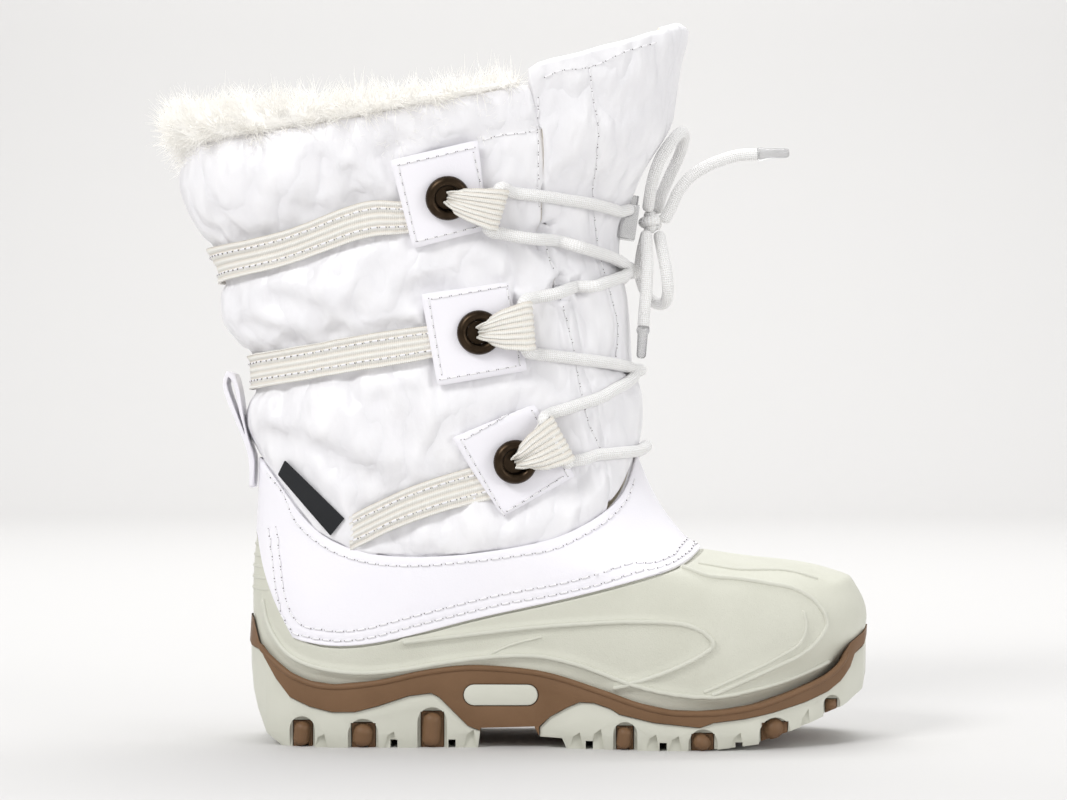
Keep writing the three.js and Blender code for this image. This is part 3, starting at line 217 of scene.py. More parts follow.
felt = Finish("grey_felt", "felt", Roughness=0.95)
fibre = felt.noise(900, 4.0)
felt.set(Base_Color=felt.mix(fibre, tint("77777a"), tint("9b9b98")),
         Normal=felt.bump(fibre, 0.0004, 0.8))

# %% [markdown]
# Both rubbers are moulded. The grey one has a fine sparkling grain between smooth ribs, and
# the brown one is plain with a little bloom from the mould.

# %% Rubber
grey = Finish("grey_rubber", "grey_rubber", Specular_IOR_Level=0.45)
sparkle = grey.noise(2300, 2.0)
bloom = grey.noise(45, 3.0)
grey.set(Base_Color=grey.mix(bloom, tint("cacabc"), tint("d8d8cb")),
         Roughness=0.36 + 0.2 * sparkle,
         Normal=grey.bump(sparkle, 0.00022, 0.6))

smooth_grey = Finish("smooth_grey_rubber", "grey_rubber", Roughness=0.42)
haze = smooth_grey.noise(60, 3.0)
smooth_grey.set(Base_Color=smooth_grey.mix(haze, tint("cbcbbe"), tint("d6d6ca")),
                Roughness=0.36 + 0.14 * haze,
                Normal=smooth_grey.bump(smooth_grey.noise(700, 2.0), 0.00006, 0.5))

brown = Finish("brown_rubber", "brown_rubber", Specular_IOR_Level=0.4)
dust = brown.noise(70, 4.0)
brown.set(Base_Color=brown.mix(dust, tint("6b4e33"), tint("7f6044")),
          Roughness=0.45 + 0.2 * dust,
          Normal=brown.bump(brown.noise(900, 2.0), 0.00012, 0.5))

# %% [markdown]
# Webbing, lace and label are woven. Each gets its pattern from the piece's own UV map, where U
# runs along the piece and V across it, both in metres, so that ribs follow every bend.

# %% Woven finishes
LACE_RADIUS = 0.0022
CORD_RIB = TURN * LACE_RADIUS / 9
RIB_PITCH = 0.0021
PICK_PITCH = 0.0007
LABEL_THREADS = 11000  # radians of the weave's wave in a metre
webbing = Finish("ribbed_webbing", "ribbed_elastic", Roughness=0.85)
along, across = webbing.uv()
rib = (across * (TURN / RIB_PITCH)).wave()
pick = (along * (TURN / PICK_PITCH)).wave()
# Painted shade: the colour follows the ribs, darker in the grooves between them and lighter on
# their tops.
webbing.set(Base_Color=webbing.mix((rib * 0.5 + 0.5).between(0.05, 0.75),
                                   tint("efe9df"), tint("fcfaf4")),
            Normal=webbing.bump(rib * 0.8 + pick * 0.25, 0.00035, 0.9))

braid = Finish("round_braid", "lace_braid", Roughness=0.75)
along, across = braid.uv()
plait = ((along + across) * (TURN / CORD_RIB)).wave() * (
    (along - across) * (TURN / CORD_RIB)).wave()
# Painted shade: the colour follows the plait, darker between the strands and lighter on their
# crowns.
braid.set(Base_Color=braid.mix((plait * 0.5 + 0.5).between(0.1, 0.7),
                               tint("f1efec"), tint("ffffff")),
          Normal=braid.bump(plait, 0.0002, 0.8))

label_weave = Finish("black_weave", "woven_label", Roughness=0.8)
thread_x, _, thread_z = label_weave.axes(label_weave.place())
thread = ((thread_x + thread_z) * LABEL_THREADS).wave() * (
    (thread_x - thread_z) * LABEL_THREADS).wave()
# Painted highlight: the colour follows the weave's relief, lighter on the thread crests and darker
# between them.
label_weave.set(Base_Color=label_weave.mix(thread * 0.5 + 0.5, tint("101114"), tint("24262a")),
                Normal=label_weave.bump(thread, 0.0001, 0.6))

thread_white = Finish("sewing_thread", "synthetic_leather", Roughness=0.6)
twist = thread_white.noise(2500, 2.0)
thread_white.set(Base_Color=thread_white.mix(twist, tint("ecebed"), tint("fbfafc")))
# The needle hole is painted shade: a dark grey taken by the two end rings of each stitch.
needle_hole = Finish("needle_hole", "synthetic_leather", Roughness=0.9)
needle_hole.set(Base_Color=(*tint("6f6c6b"), 1.0))

# %% [markdown]
# The pile is cream, with a faint glow of painted light that brightens it. The eyelets are aged
# bronze, and the cord lock and the tips of the lace a clear plastic that looks grey where it is
# thick.

# %% Pile, metal and plastic
pile = Finish("cream_pile", "pile", Roughness=0.9)
tuft = pile.noise(160, 3.0)
# Painted light: the emission makes the pile glow faintly, though it is no lamp.
pile.set(Base_Color=pile.mix(tuft, tint("f6f3ec"), tint("fefdfb")), Sheen_Weight=0.3,
         Emission_Color=(1.0, 0.98, 0.95, 1.0), Emission_Strength=0.13)

lining = Finish("pile_lining", "pile", Roughness=0.95)
nap = lining.noise(220, 4.0)
lining.set(Base_Color=lining.mix(nap, tint("d9d3c6"), tint("efeae0")),
           Normal=lining.bump(nap, 0.0015, 0.9))

bronze = Finish("aged_bronze", "dark_metal", Metallic=1.0)
patina = bronze.noise(420, 3.0)
bronze.set(Base_Color=bronze.mix(patina, tint("261e16"), tint("4a3d30")),
           Roughness=0.26 + 0.2 * patina)

clear = Finish("clear_plastic", "clear_plastic", IOR=1.46, Transmission_Weight=0.75)
cloudy = clear.noise(240, 2.0)
clear.set(Base_Color=clear.mix(cloudy, tint("d2d2d3"), tint("e6e6e6")),
          Roughness=0.12 + 0.1 * cloudy)


# %% [markdown]
# Every piece ends in the same way: it takes its finish, rides on the boot and hides the solids
# it stands for. A smoothed copy of a solid is how a moulder would work from a rough plug: its
# facets become quads, its true edges are creased, and subdivision rounds the rest.

# %% Helpers for pieces
WELD = 2e-5
AXIS_X = 0.035
FLAT_ANGLE = math.radians(70)
FAR = 0.2


def only(piece):
    ops.object.select_all(action="DESELECT")
    piece.select_set(True)
    bpy.context.view_layer.objects.active = piece


def new_piece(name, mesh):
    piece = bpy.data.objects.new(name, mesh)
    scene.collection.objects.link(piece)
    return piece


def made_piece(name, points, faces):
    mesh = bpy.data.meshes.new(name)
    mesh.from_pydata(points, [], faces)
    return new_piece(name, mesh)


def finished(piece, finish, *replaced):
    piece.data.materials.clear()
    piece.data.materials.append(finish.material)
    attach(piece, "root")
    if replaced:
        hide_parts(*replaced)
    return piece


def apply_modifier(piece, kind, **settings):
    """Leaves the piece selected, and it alone."""
    only(piece)
    modifier = piece.modifiers.new(kind.lower(), kind)
    for name, value in settings.items():
        setattr(modifier, name, value)
    ops.object.modifier_apply(modifier=modifier.name)


def mended(piece, merge=0.0):
    """Turns a piece's faces outward, and merges the points closer than a distance."""
    only(piece)
    ops.object.mode_set(mode="EDIT")
    ops.mesh.select_all(action="SELECT")
    if merge:
        ops.mesh.remove_doubles(threshold=merge)
    ops.mesh.normals_make_consistent(inside=False)
    ops.object.mode_set(mode="OBJECT")
    return piece


def welded(node, name):
    """A copy of a solid with its loose triangles merged, in edit mode and selected."""
    piece = new_piece(name, nodes[node].data.copy())
    only(piece)
    ops.mesh.customdata_custom_splitnormals_clear()
    ops.object.mode_set(mode="EDIT")
    ops.mesh.select_mode(type="VERT")
    ops.mesh.select_all(action="SELECT")
    ops.mesh.remove_doubles(threshold=WELD)
    return piece


def smoothed(node, name, levels, sharp=40, crease=0.9):
    """A copy of a lofted solid, as a smooth surface that keeps its true edges."""
    piece = welded(node, name)
    ops.mesh.tris_convert_to_quads(face_threshold=FLAT_ANGLE, shape_threshold=FLAT_ANGLE)
    ops.mesh.select_all(action="DESELECT")
    ops.mesh.select_mode(type="EDGE")
    ops.mesh.edges_select_sharp(sharpness=math.radians(sharp))
    ops.transform.edge_crease(value=crease)
    ops.object.mode_set(mode="OBJECT")
    apply_modifier(piece, "SUBSURF", levels=levels, render_levels=levels)
    ops.object.shade_smooth()
    return piece


def eased(node, name, width, segments=2, sharp=28, cutter=None):
    """A copy of a cut solid with its flats made whole and its edges rounded."""
    piece = welded(node, name)
    ops.mesh.dissolve_limited(angle_limit=math.radians(2))
    ops.object.mode_set(mode="OBJECT")
    if cutter:
        apply_modifier(piece, "BOOLEAN", operation="DIFFERENCE", solver="EXACT", object=cutter)
    apply_modifier(piece, "BEVEL", width=width, segments=segments, limit_method="ANGLE",
                   angle_limit=math.radians(sharp), use_clamp_overlap=True)
    ops.object.shade_smooth_by_angle(angle=math.radians(sharp))
    return piece


# %% [markdown]
# Most shaping works on whole arrays of points, with trees that answer where the nearest surface
# is. The lines in the picture are given on the side view, as lengths and heights, and are looked
# up on the surface from both sides.

# %% Helpers for points and lines
def positions(mesh):
    points = np.empty(len(mesh.vertices) * 3)
    mesh.vertices.foreach_get("co", points)
    return points.reshape(-1, 3)


def normals(mesh):
    found = np.empty(len(mesh.vertices) * 3)
    mesh.vertices.foreach_get("normal", found)
    return found.reshape(-1, 3)


def move_points(piece, points):
    piece.data.vertices.foreach_set("co", points.ravel())
    piece.data.update()


def push(piece, amounts):
    """Moves each vertex along its own normal by an amount in metres."""
    move_points(piece, positions(piece.data) + normals(piece.data) * amounts[:, None])


def clamped(value):
    return min(1.0, max(0.0, value))


def tree_of(*names):
    """A ray-casting tree over solids or finished pieces."""
    points = []
    faces = []
    for name in names:
        mesh = bpy.data.objects[name].data
        start = len(points)
        points.extend(vertex.co.copy() for vertex in mesh.vertices)
        faces.extend([start + k for k in polygon.vertices] for polygon in mesh.polygons)
    return BVHTree.FromPolygons(points, faces)


def nearest_of(places):
    """A tree that finds the nearest of many places."""
    tree = KDTree(len(places))
    for number, place in enumerate(places):
        tree.insert(place, number)
    tree.balance()
    return tree


def outward_at(place):
    """The level direction from the boot's upright axis to a place."""
    return Vector((place[0] - AXIS_X, place[1], 0)).normalized()


def level(angle):
    return Vector((math.cos(angle), math.sin(angle), 0))


def spoke(side, other, angle):
    return side * math.cos(angle) + other * math.sin(angle)


def heading(line, k):
    """The direction of a line at one of its points."""
    return (line[min(k + 1, len(line) - 1)] - line[max(k - 1, 0)]).normalized()


def reaches_along(line):
    """The length of a line up to each of its points."""
    reaches = [0.0]
    for start, end in zip(line, line[1:]):
        reaches.append(reaches[-1] + (end - start).length)
    return reaches


def curve_through(points, pitch):
    """Even steps along a centripetal Catmull-Rom curve through the points."""
    points = [Vector(point) for point in points]
    ends = [points[0] * 2 - points[1], *points, points[-1] * 2 - points[-2]]
    line = []
    for a, b, c, d in zip(ends, ends[1:], ends[2:], ends[3:]):
        knots = [0.0]
        for p, q in ((a, b), (b, c), (c, d)):
            knots.append(knots[-1] + max(1e-6, (q - p).length) ** 0.5)
        count = max(1, round((c - b).length / pitch))
        for k in range(count):
            t = knots[1] + (knots[2] - knots[1]) * k / count
            ab = a.lerp(b, (t - knots[0]) / (knots[1] - knots[0]))
            bc = b.lerp(c, (t - knots[1]) / (knots[2] - knots[1]))
            cd = c.lerp(d, (t - knots[2]) / (knots[3] - knots[2]))
            abc = ab.lerp(bc, (t - knots[0]) / (knots[2] - knots[0]))
            bcd = bc.lerp(cd, (t - knots[1]) / (knots[3] - knots[1]))
            line.append(abc.lerp(bcd, (t - knots[1]) / (knots[2] - knots[1])))
    line.append(points[-1])
    return line


def on_surface(points, tree):
    """Pairs of a place on the surface and its normal, nearest to the points."""
    return [tree.find_nearest(point)[:2] for point in points]


def side_hit(tree, x, z, side):
    """Where a level look from one side meets a surface, for a place in mm."""
    return tree.ray_cast(Vector((x * MM, side * FAR, z * MM)), Vector((0, -side, 0)))[0]


def side_lines(places, tree):
    """A line given as lengths and heights on the side view, in mm, laid on both sides."""
    lines = []
    for side in (-1, 1):
        hits = [side_hit(tree, x, z, side) for x, z in places]
        found = [hit for hit in hits if hit is not None]
        lines.append(on_surface(curve_through(found, MM), tree))
    return lines


def sunk(line, depth):
    """A line of places and normals, as places below the surface by a depth in mm."""
    return [place - normal * depth * MM for place, normal in line]


def groove(piece, lines, depth, half_width):
    """Presses soft troughs along lines, in mm, or raises ridges where depth is negative."""
    samples = [sample for line in lines for sample in line]
    tree = nearest_of([place for place, _ in samples])
    half_width *= MM
    facing = normals(piece.data)
    amounts = np.zeros(len(facing))
    for number, point in enumerate(positions(piece.data)):
        _, nearest, distance = tree.find(point)
        if distance > half_width:
            continue
        if Vector(facing[number]).dot(samples[nearest][1]) < 0.2:
            continue
        share = distance / half_width
        amounts[number] = -depth * MM * (1 - share * share) ** 2
    push(piece, amounts)


# %% [markdown]
# Webbing and laces are sheets over rows of points, with UV maps in metres: U runs along the
# piece and V across it. A stitch is a short bead that sinks in at both ends, where a ring of
# painted shade, a dark grey, stands for the needle hole.

# %% Mesh makers
MERGE = 1e-6
CAP_ANGLES = (30, 60, 86)
HOLE = 0.36
STITCH_FILL = 0.97
STITCH_SIDES = 5
STITCH_RISE = 0.35


def grid_piece(name, rows, marks):
    """A sheet over rows of points, with a UV mark, in metres, for each point."""
    width = len(rows[0])
    faces = []
    for r in range(len(rows) - 1):
        for a in range(r * width, r * width + width - 1):
            faces.append((a, a + 1, a + width + 1, a + width))
    piece = made_piece(name, [point for row in rows for point in row], faces)
    flat_marks = [mark for row in marks for mark in row]
    corners = [flat_marks[k] for face in faces for k in face]
    layer = piece.data.uv_layers.new(name="metres")
    layer.data.foreach_set("uv", np.array(corners, dtype=float).ravel())
    return piece


def tube(name, line, radius, sides=14):
    """A round cord along a line, with rounded ends."""
    line = [Vector(point) for point in line]
    side = heading(line, 0).orthogonal().normalized()
    rings = []
    for k, (place, run) in enumerate(zip(line, reaches_along(line))):
        tangent = heading(line, k)
        side = (side - tangent * side.dot(tangent)).normalized()
        rings.append((place, tangent, side, radius, run))
    for end, sign in ((0, -1), (-1, 1)):
        place, tangent, side, _, run = rings[end]
        for angle in CAP_ANGLES:
            a = math.radians(angle)
            shift = sign * radius * 0.7 * math.sin(a)
            ring = (place + tangent * shift, tangent, side, radius * math.cos(a), run + shift)
            rings.insert(0 if sign < 0 else len(rings), ring)
    angles = [TURN * k / sides for k in range(sides + 1)]
    rows = []
    for place, tangent, side, size, _ in rings:
        other = tangent.cross(side)
        rows.append([place + spoke(side, other, a) * size for a in angles])
    marks = [[(ring[-1], a * radius) for a in angles] for ring in rings]
    piece = mended(grid_piece(name, rows, marks), MERGE)
    ops.object.shade_smooth()
    return piece


def join(name, pieces):
    only(pieces[0])
    for piece in pieces:
        piece.select_set(True)
    ops.object.join()
    pieces[0].name = name
    return pieces[0]


def sewn(name, lines, pitch, radius):
    """Rows of sewing stitches, half sunk along lines, with needle holes as dark painted shade.
    Sizes in mm.
    """
    hole = HOLE / pitch
    pitch, radius = pitch * MM, radius * MM
    length = STITCH_FILL * pitch
    profile = [(-0.5, 0.1), (hole - 0.5, 0.85), (-0.2, 1.0), (0.2, 1.0), (0.5 - hole, 0.85),
               (0.5, 0.1)]
    rings = len(profile) - 1
    angles = [TURN * k / STITCH_SIDES for k in range(STITCH_SIDES)]
    points = []
    faces = []
    for line in lines:
        run = 0.0
        for (start, normal), (end, _) in zip(line, line[1:]):
            step = (end - start).length
            run += step
            if run < pitch or step < MERGE:
                continue
            run = 0.0
            along = (end - start) / step
            lift = (normal - along * normal.dot(along)).normalized()
            side = along.cross(lift)
            first = len(points)
            for share, size in profile:
                middle = start + along * share * length
                for a in angles:
                    points.append(middle + (lift * (STITCH_RISE + math.cos(a) * size)
                                            + side * math.sin(a) * size) * radius)
            for ring in range(first, first + rings * STITCH_SIDES, STITCH_SIDES):
                for k in range(STITCH_SIDES):
                    a, b = ring + k, ring + (k + 1) % STITCH_SIDES
                    faces.append((a, b, b + STITCH_SIDES, a + STITCH_SIDES))
    piece = finished(made_piece(name, points, faces), thread_white)
    piece.data.materials.append(needle_hole.material)
    # The two end rings of each stitch take the needle hole's painted shade.
    for number, polygon in enumerate(piece.data.polygons):
        polygon.material_index = int(number // STITCH_SIDES % rings in (0, rings - 1))
    only(piece)
    ops.object.shade_smooth()
    print(name, len(lines), "rows", len(faces) // (STITCH_SIDES * rings), "stitches")


# %% [markdown]
# A row of stitches keeps a fixed distance from the edge of its panel. On the side view that is
# a line moved sideways; on a square tab it is the smallest rectangle round the tab, drawn in.

# %% Rows beside an edge
ROW_STEP = 0.0005
TAB_REACH = 0.02
# The pitch and the radius of each kind of stitch, in mm.
LEATHER_STITCH = (3.4, 0.36)
TAB_STITCH = (3.4, 0.32)
SHAFT_STITCH = (3.6, 0.32)
BAND_STITCH = (2.8, 0.42)
# The depth and the half width of what a row of stitches draws in, in mm.
SEAM_GROOVE = (1.1, 3.2)
ROW_GROOVE = (0.35, 1.2)
FOLD_RIDGE = (-1.3, 3.5)


def beside(places, distance):
    """A side-view line, in mm, moved to its left by a distance."""
    moved = []
    for k, place in enumerate(places):
        before, after = places[max(k - 1, 0)], places[min(k + 1, len(places) - 1)]
        run = Vector((after[0] - before[0], after[1] - before[1])).normalized()
        moved.append((place[0] - run.y * distance, place[1] + run.x * distance))
    return moved


def square_row(piece, centre, axis, inset):
    """A closed line inside the border of a square sheet."""
    side = axis.cross(Vector((0, 0, 1))).normalized()
    up = side.cross(axis)
    offsets = [Vector(point) - centre for point in positions(piece.data)]
    flat = np.array([(offset.dot(side), offset.dot(up)) for offset in offsets])
    fits = []
    for a in np.radians(range(90)):
        turned_flat = flat @ np.array([[math.cos(a), math.sin(a)], [-math.sin(a), math.cos(a)]])
        low, high = turned_flat.min(axis=0), turned_flat.max(axis=0)
        fits.append(((high - low).prod(), a, low + inset, high - inset))
    _, a, low, high = min(fits, key=lambda fit: fit[0])
    corners = [(low[0], low[1]), (high[0], low[1]), (high[0], high[1]), (low[0], high[1])]
    tree = tree_of(piece.name)
    places = []
    for (x0, y0), (x1, y1) in zip(corners, corners[1:] + corners[:1]):
        count = round(math.hypot(x1 - x0, y1 - y0) / ROW_STEP)
        for k in range(count):
            x, y = x0 + (x1 - x0) * k / count, y0 + (y1 - y0) * k / count
            across = x * math.cos(a) + y * math.sin(a)
            height = y * math.cos(a) - x * math.sin(a)
            start = centre + side * across + up * height + axis * TAB_REACH
            place, normal = tree.ray_cast(start, -axis)[:2]
            if place is not None:
                places.append((place, normal))
    return places + places[:1]


# %% [markdown]
# The rubber shell is one moulding. A smoothed copy of its solid gives the toe, which is made a
# little fuller. The raised lines on it, a petal on the side and a panel over the toe, are drawn
# as in the picture: each is a soft ridge in the shell with a smooth bead on top.

# %% Shell
TOE_START = 0.150
TOE_LENGTH = 0.035
TOE_HEIGHT = 0.044
TOE_SPREAD = 0.013
TOE_FULLNESS = 0.0025
shell = smoothed("shell", "rubber_shell", 3)
points = positions(shell.data)
along = np.clip((points[:, 0] - TOE_START) / TOE_LENGTH, 0, 1)
fullness = TOE_FULLNESS * along ** 2 * (3 - 2 * along) * np.exp(
    -((points[:, 2] - TOE_HEIGHT) / TOE_SPREAD) ** 2)
outward = points - np.array([TOE_START, 0, TOE_HEIGHT])
outward[:, 2] *= 0.3
points += outward / np.linalg.norm(outward, axis=1)[:, None] * fullness[:, None]
move_points(shell, points)
shell_tree = tree_of("rubber_shell")
PETAL = [(25, 38), (42, 40), (67, 43), (89, 45), (107, 46), (125, 45), (132, 42), (135, 38),
         (132, 35), (118, 28), (100, 22)]
GRAIN_EDGE = [(52, 32), (63, 37), (74, 40)]
TOE_PANEL = [(125, 65), (134, 62), (144, 61), (156, 59), (165, 57), (172, 53), (176, 48),
             (177, 44), (174, 39), (168, 34), (152, 27), (135, 20)]
TOE_INNER = [(168, 49), (169, 44), (167, 38), (159, 33), (146, 27), (132, 21)]
TOE_TOP = [(131, 66), (144, 64), (163, 63), (174, 60)]
SOLE_BEAD = [(-27, 52), (-25, 44), (-19, 35), (-13, 31), (-2, 28), (11, 27), (23, 28), (41, 31),
             (59, 33), (74, 33), (88, 30), (102, 25), (116, 21), (135, 19), (149, 21), (165, 25),
             (178, 30)]
# The height and half width of each ridge, and the radius of its bead, in mm.
SHELL_LINES = [(PETAL, 0.9, 2.6, 0.95), (TOE_PANEL, 0.8, 2.6, 0.95), (TOE_INNER, 0.5, 2.2, 0.7),
               (TOE_TOP, 0.5, 2.2, 0.7), (GRAIN_EDGE, 0.35, 2.0, 0.5), (SOLE_BEAD, 1.0, 3.0, 1.0)]
HEEL_RIBS = [56, 60, 64, 68, 72, 76]
HEEL_RIB_RADIUS = 0.75
HEEL_SPREAD = math.radians(38)
HEEL_AXIS_X = 0.01
HEEL_REACH = 0.12
BEAD_SINK = 0.3
BEAD_SIDES = 10
for places, height, width, _ in SHELL_LINES:
    groove(shell, side_lines(places, shell_tree), -height, width)
finished(shell, grey, "shell")
relief_tree = tree_of("rubber_shell")
reliefs = []
for places, _, _, radius in SHELL_LINES:
    for line in side_lines(places, relief_tree):
        reliefs.append(tube("relief", sunk(line, radius * BEAD_SINK), radius * MM, BEAD_SIDES))


def heel_line(height):
    """A level line round the back of the heel."""
    hits = []
    for k in range(-12, 13):
        outward = level(math.pi + HEEL_SPREAD * k / 12)
        start = Vector((HEEL_AXIS_X, 0, height * MM)) + outward * HEEL_REACH
        place, normal = relief_tree.ray_cast(start, -outward)[:2]
        if place is not None:
            hits.append((place, normal))
    return sunk(hits, BEAD_SINK)


for height in HEEL_RIBS:
    reliefs.append(tube("relief", heel_line(height), HEEL_RIB_RADIUS * MM, BEAD_SIDES))
finished(join("shell_relief", reliefs), smooth_grey)
print("shell:", len(shell.data.polygons), "faces")

# %% [markdown]
# The sole is cut from blocks, so its copy keeps flat faces and crisp corners with a small
# moulded radius. Arched recesses are cut into its wall round the brown cleats, which come back
# as rounded ribs, and the grey lugs between them get the slanted facets of the picture.

# %% Sole
MOULD_RADIUS = 0.0007
# Each cleat's two edges, top and foot on the side view, and each lug's place and height, in mm.
CLEATS = [(-15.5, -8.1, 9.5, 0.3), (5.8, 14.8, 9.0, 0.3), (30.7, 39.3, 13.1, 0.3),
          (100.7, 107.2, 8.6, 0.3), (127.3, 135.6, 6.4, 0.5), (152.5, 162.4, 10.0, 4.8),
          (176.7, 181.3, 16.7, 12.8)]
LUG_CUTS = [(-5.5, 5.0), (19.5, 6.0), (48.0, 6.5), (86.0, 6.0), (93.5, 7.5), (113.0, 6.0),
            (121.0, 5.5), (143.0, 6.5), (168.0, 14.0)]
RECESS_DEPTH = 4.2
RECESS_ROOM = (1.0, 1.6)
FACET_DEPTH = 1.5
GROUND = -2
OUTSIDE = 80
CLEAT_TILT = 0.6
CLEAT_SINK = 1.7
CLEAT_DRAFT = 0.07
CLEAT_STEPS = 8
sole_tree = tree_of("outsole", "heel_rand", "forefoot_rand")


def sole_wall(x, z, side):
    """How far out the sole's wall stands, in mm."""
    return side_hit(sole_tree, x, z, side).y / MM


def prism(name, outline, near, far):
    """A block over a side-view outline between two widths, all in mm."""
    count = len(outline)
    points = [(x * MM, y * MM, z * MM) for y in (near, far) for x, z in outline]
    faces = [tuple(range(count)), tuple(range(2 * count - 1, count - 1, -1))]
    faces += [(k, k + count, (k + 1) % count + count, (k + 1) % count) for k in range(count)]
    return mended(made_piece(name, points, faces))


def arch(low, high, top):
    """An outline with a round top."""
    middle, half = (low + high) / 2, (high - low) / 2
    angles = [math.pi * k / 10 for k in range(11)]
    curve = [(middle + half * math.cos(a), top - half + half * math.sin(a)) for a in angles]
    return [(high, GROUND), *curve, (low, GROUND)]


def cleat_line(low, high, top, floor, side, wall):
    """The middle line of a cleat that stands in its recess and leans with the wall."""
    radius = (high - low) * 0.4
    foot = floor + radius * 0.7
    head = top - 0.4 - radius * 0.7
    line = []
    for k in range(CLEAT_STEPS + 1):
        x = (low + high) / 2 - (1 - k / CLEAT_STEPS) * CLEAT_TILT
        y = wall - side * (radius * 0.75 + CLEAT_SINK - CLEAT_DRAFT * k)
        line.append(Vector((x, y, foot + (head - foot) * k / CLEAT_STEPS)) * MM)
    return line


cutters = []
ribs = []
for side in (-1, 1):
    for low, high, top, floor in CLEATS:
        wall = sole_wall((low + high) / 2, 0.75 * top, side)
        aside, above = RECESS_ROOM
        outline = arch(low - aside, high + aside, top + above)
        cutters.append(prism("recess", outline, wall - side * RECESS_DEPTH, side * OUTSIDE))
        line = cleat_line(low, high, top, floor, side, wall)
        ribs.append(tube("rib", line, (high - low) * 0.4 * MM, 20))
    for x, height in LUG_CUTS:
        wall = sole_wall(x, height * 0.9, side)
        outline = [(x - 2.2, GROUND), (x + 3.4, GROUND), (x + 1.8, height),
                   (x - 0.6, height * 0.75)]
        cutters.append(prism("facet", outline, wall - side * FACET_DEPTH, side * OUTSIDE))
cutter = join("sole_cutter", cutters)
for node, name, finish, tool in [
        ("outsole", "brown_outsole", brown, cutter),
        ("heel_rand", "grey_heel_rand", smooth_grey, cutter),
        ("forefoot_rand", "grey_forefoot_rand", smooth_grey, cutter),
        ("arch_insert_lateral", "arch_plate_lateral", smooth_grey, None),
        ("arch_insert_medial", "arch_plate_medial", smooth_grey, None)]:
    finished(eased(node, name, MOULD_RADIUS, cutter=tool), finish, node)
bpy.data.objects.remove(cutter)

# %% [markdown]
# The brown rubber ends in a rim against the shell. At the toe and the heel its edge is drawn in
# until only a fine gap is left, and a round bead follows the whole rim. The felt insole is a
# plain smoothed copy.

# %% Brown rim and insole
WAIST = (-0.02, 0.17)
LEAN_GAP = 0.0009
LEAN_LOW = 0.034
LEAN_HIGH = 0.041
RIM_LINE = [(-28, 36), (-18, 27.7), (-9, 23.9), (0, 22.8), (16, 24.4), (32, 27.8), (46, 29.5),
            (61, 29.1), (77, 26.9), (96, 21.2), (108, 17.2), (120, 14.6), (129, 14.3),
            (139, 14.7), (149, 16.2), (160, 19.2), (171, 23.2), (177, 25.7), (182, 29.3),
            (185, 33.4)]
RIM_RADIUS = 1.1
RIM_DROP = 0.9
RIM_SINK = 0.5
outsole = bpy.data.objects["brown_outsole"]
for vertex in outsole.data.vertices:
    place = vertex.co
    if WAIST[0] < place.x < WAIST[1] or place.z < LEAN_LOW:
        continue
    met, normal, _, distance = shell_tree.find_nearest(place)
    if (place - met).dot(normal) > LEAN_GAP:
        share = min(1.0, (place.z - LEAN_LOW) / (LEAN_HIGH - LEAN_LOW))
        vertex.co = place + (met - place) / distance * (distance - LEAN_GAP) * share
for line in side_lines([(x, z - RIM_DROP) for x, z in RIM_LINE], tree_of("brown_outsole")):
    ribs.append(tube("rim", sunk(line, RIM_SINK), RIM_RADIUS * MM, 12))
finished(join("brown_cleats", ribs), brown)
finished(smoothed("insole", "felt_insole", 1), felt, "insole")

# %% [markdown]
# The leather band laps over the shell. It is a smooth sheet with thick cut edges, two rows of
# stitches along its foot and one along its top.

# %% Leather band
LEATHER_TOP = [(-27, 105), (-21, 97), (-17, 92), (-12, 82), (0, 73), (13, 69), (27, 68),
               (52, 70), (67, 72), (78, 74), (89, 79), (97, 84), (103, 90), (106, 97)]
LEATHER_FOOT = [(-27, 79), (-25, 68), (-23, 54), (-19, 44), (-13, 38), (-5, 36), (4, 35),
                (15, 36), (30, 40), (45, 44), (61, 48), (81, 52), (103, 58), (118, 63),
                (130, 69)]
# Each row of stitches: the edge that it follows, and its distance from it in mm.
LEATHER_ROWS = [("top", LEATHER_TOP, -2.6), ("foot_outer", LEATHER_FOOT, 3.6),
                ("foot_inner", LEATHER_FOOT, 7.0)]
FRONT_AXIS = Vector((0.085, 0, 0))
FRONT_TURN = 55
FRONT_HEIGHTS = np.arange(0.048, 0.09, 0.0004)
SIDE_END = 0.018
CLEAR_OUT = 0.04
band = smoothed("leather_band", "leather_band_sheet", 2)
finished(band, leather, "leather_band")
band_skin = tree_of("leather_band_sheet")


def over_instep(distance):
    """A row at a distance, in mm, from the foot of the band, over the instep."""
    row = []
    for degree in range(-FRONT_TURN, FRONT_TURN + 1, 5):
        outward = level(math.radians(degree))
        met = []
        for height in FRONT_HEIGHTS:
            start = FRONT_AXIS + outward * FAR + Vector((0, 0, height))
            hit = band_skin.ray_cast(start, -outward, FAR)[0]
            if hit is not None:
                met.append(hit)
        row.append(next(hit for hit in met if (hit - met[0]).length >= distance * MM))
    return row


for name, places, distance in LEATHER_ROWS:
    rows = side_lines(beside(places, distance), band_skin)
    if name != "top":
        front = over_instep(distance)
        rear = front[0].x - SIDE_END
        sides = [[place for place, _ in row[::6] if place.x < rear] for row in rows]
        whole = curve_through(sides[0] + front + sides[1][::-1], MM)
        outside = [place + (place - FRONT_AXIS) * Vector((1, 1, 0)) * CLEAR_OUT for place in whole]
        rows = [on_surface(outside, band_skin)]
    groove(band, rows, *ROW_GROOVE)
    sewn(f"leather_{name}_stitches", rows, *LEATHER_STITCH)

# %% [markdown]
# The quilted shaft carries the look of the boot. Its copy is made fine enough on the outside to
# hold folds. Between the elastic bands the padding swells, near a band the nylon gathers into
# short upright folds, and the long creases of the picture are pressed in one by one.

# %% Quilted shaft
SHAFT_FOOT = 0.07
PANEL_FOOT = 0.08
shaft = smoothed("upper", "quilted_shaft", 2)
front_panel = smoothed("tongue", "quilted_front_panel", 2)


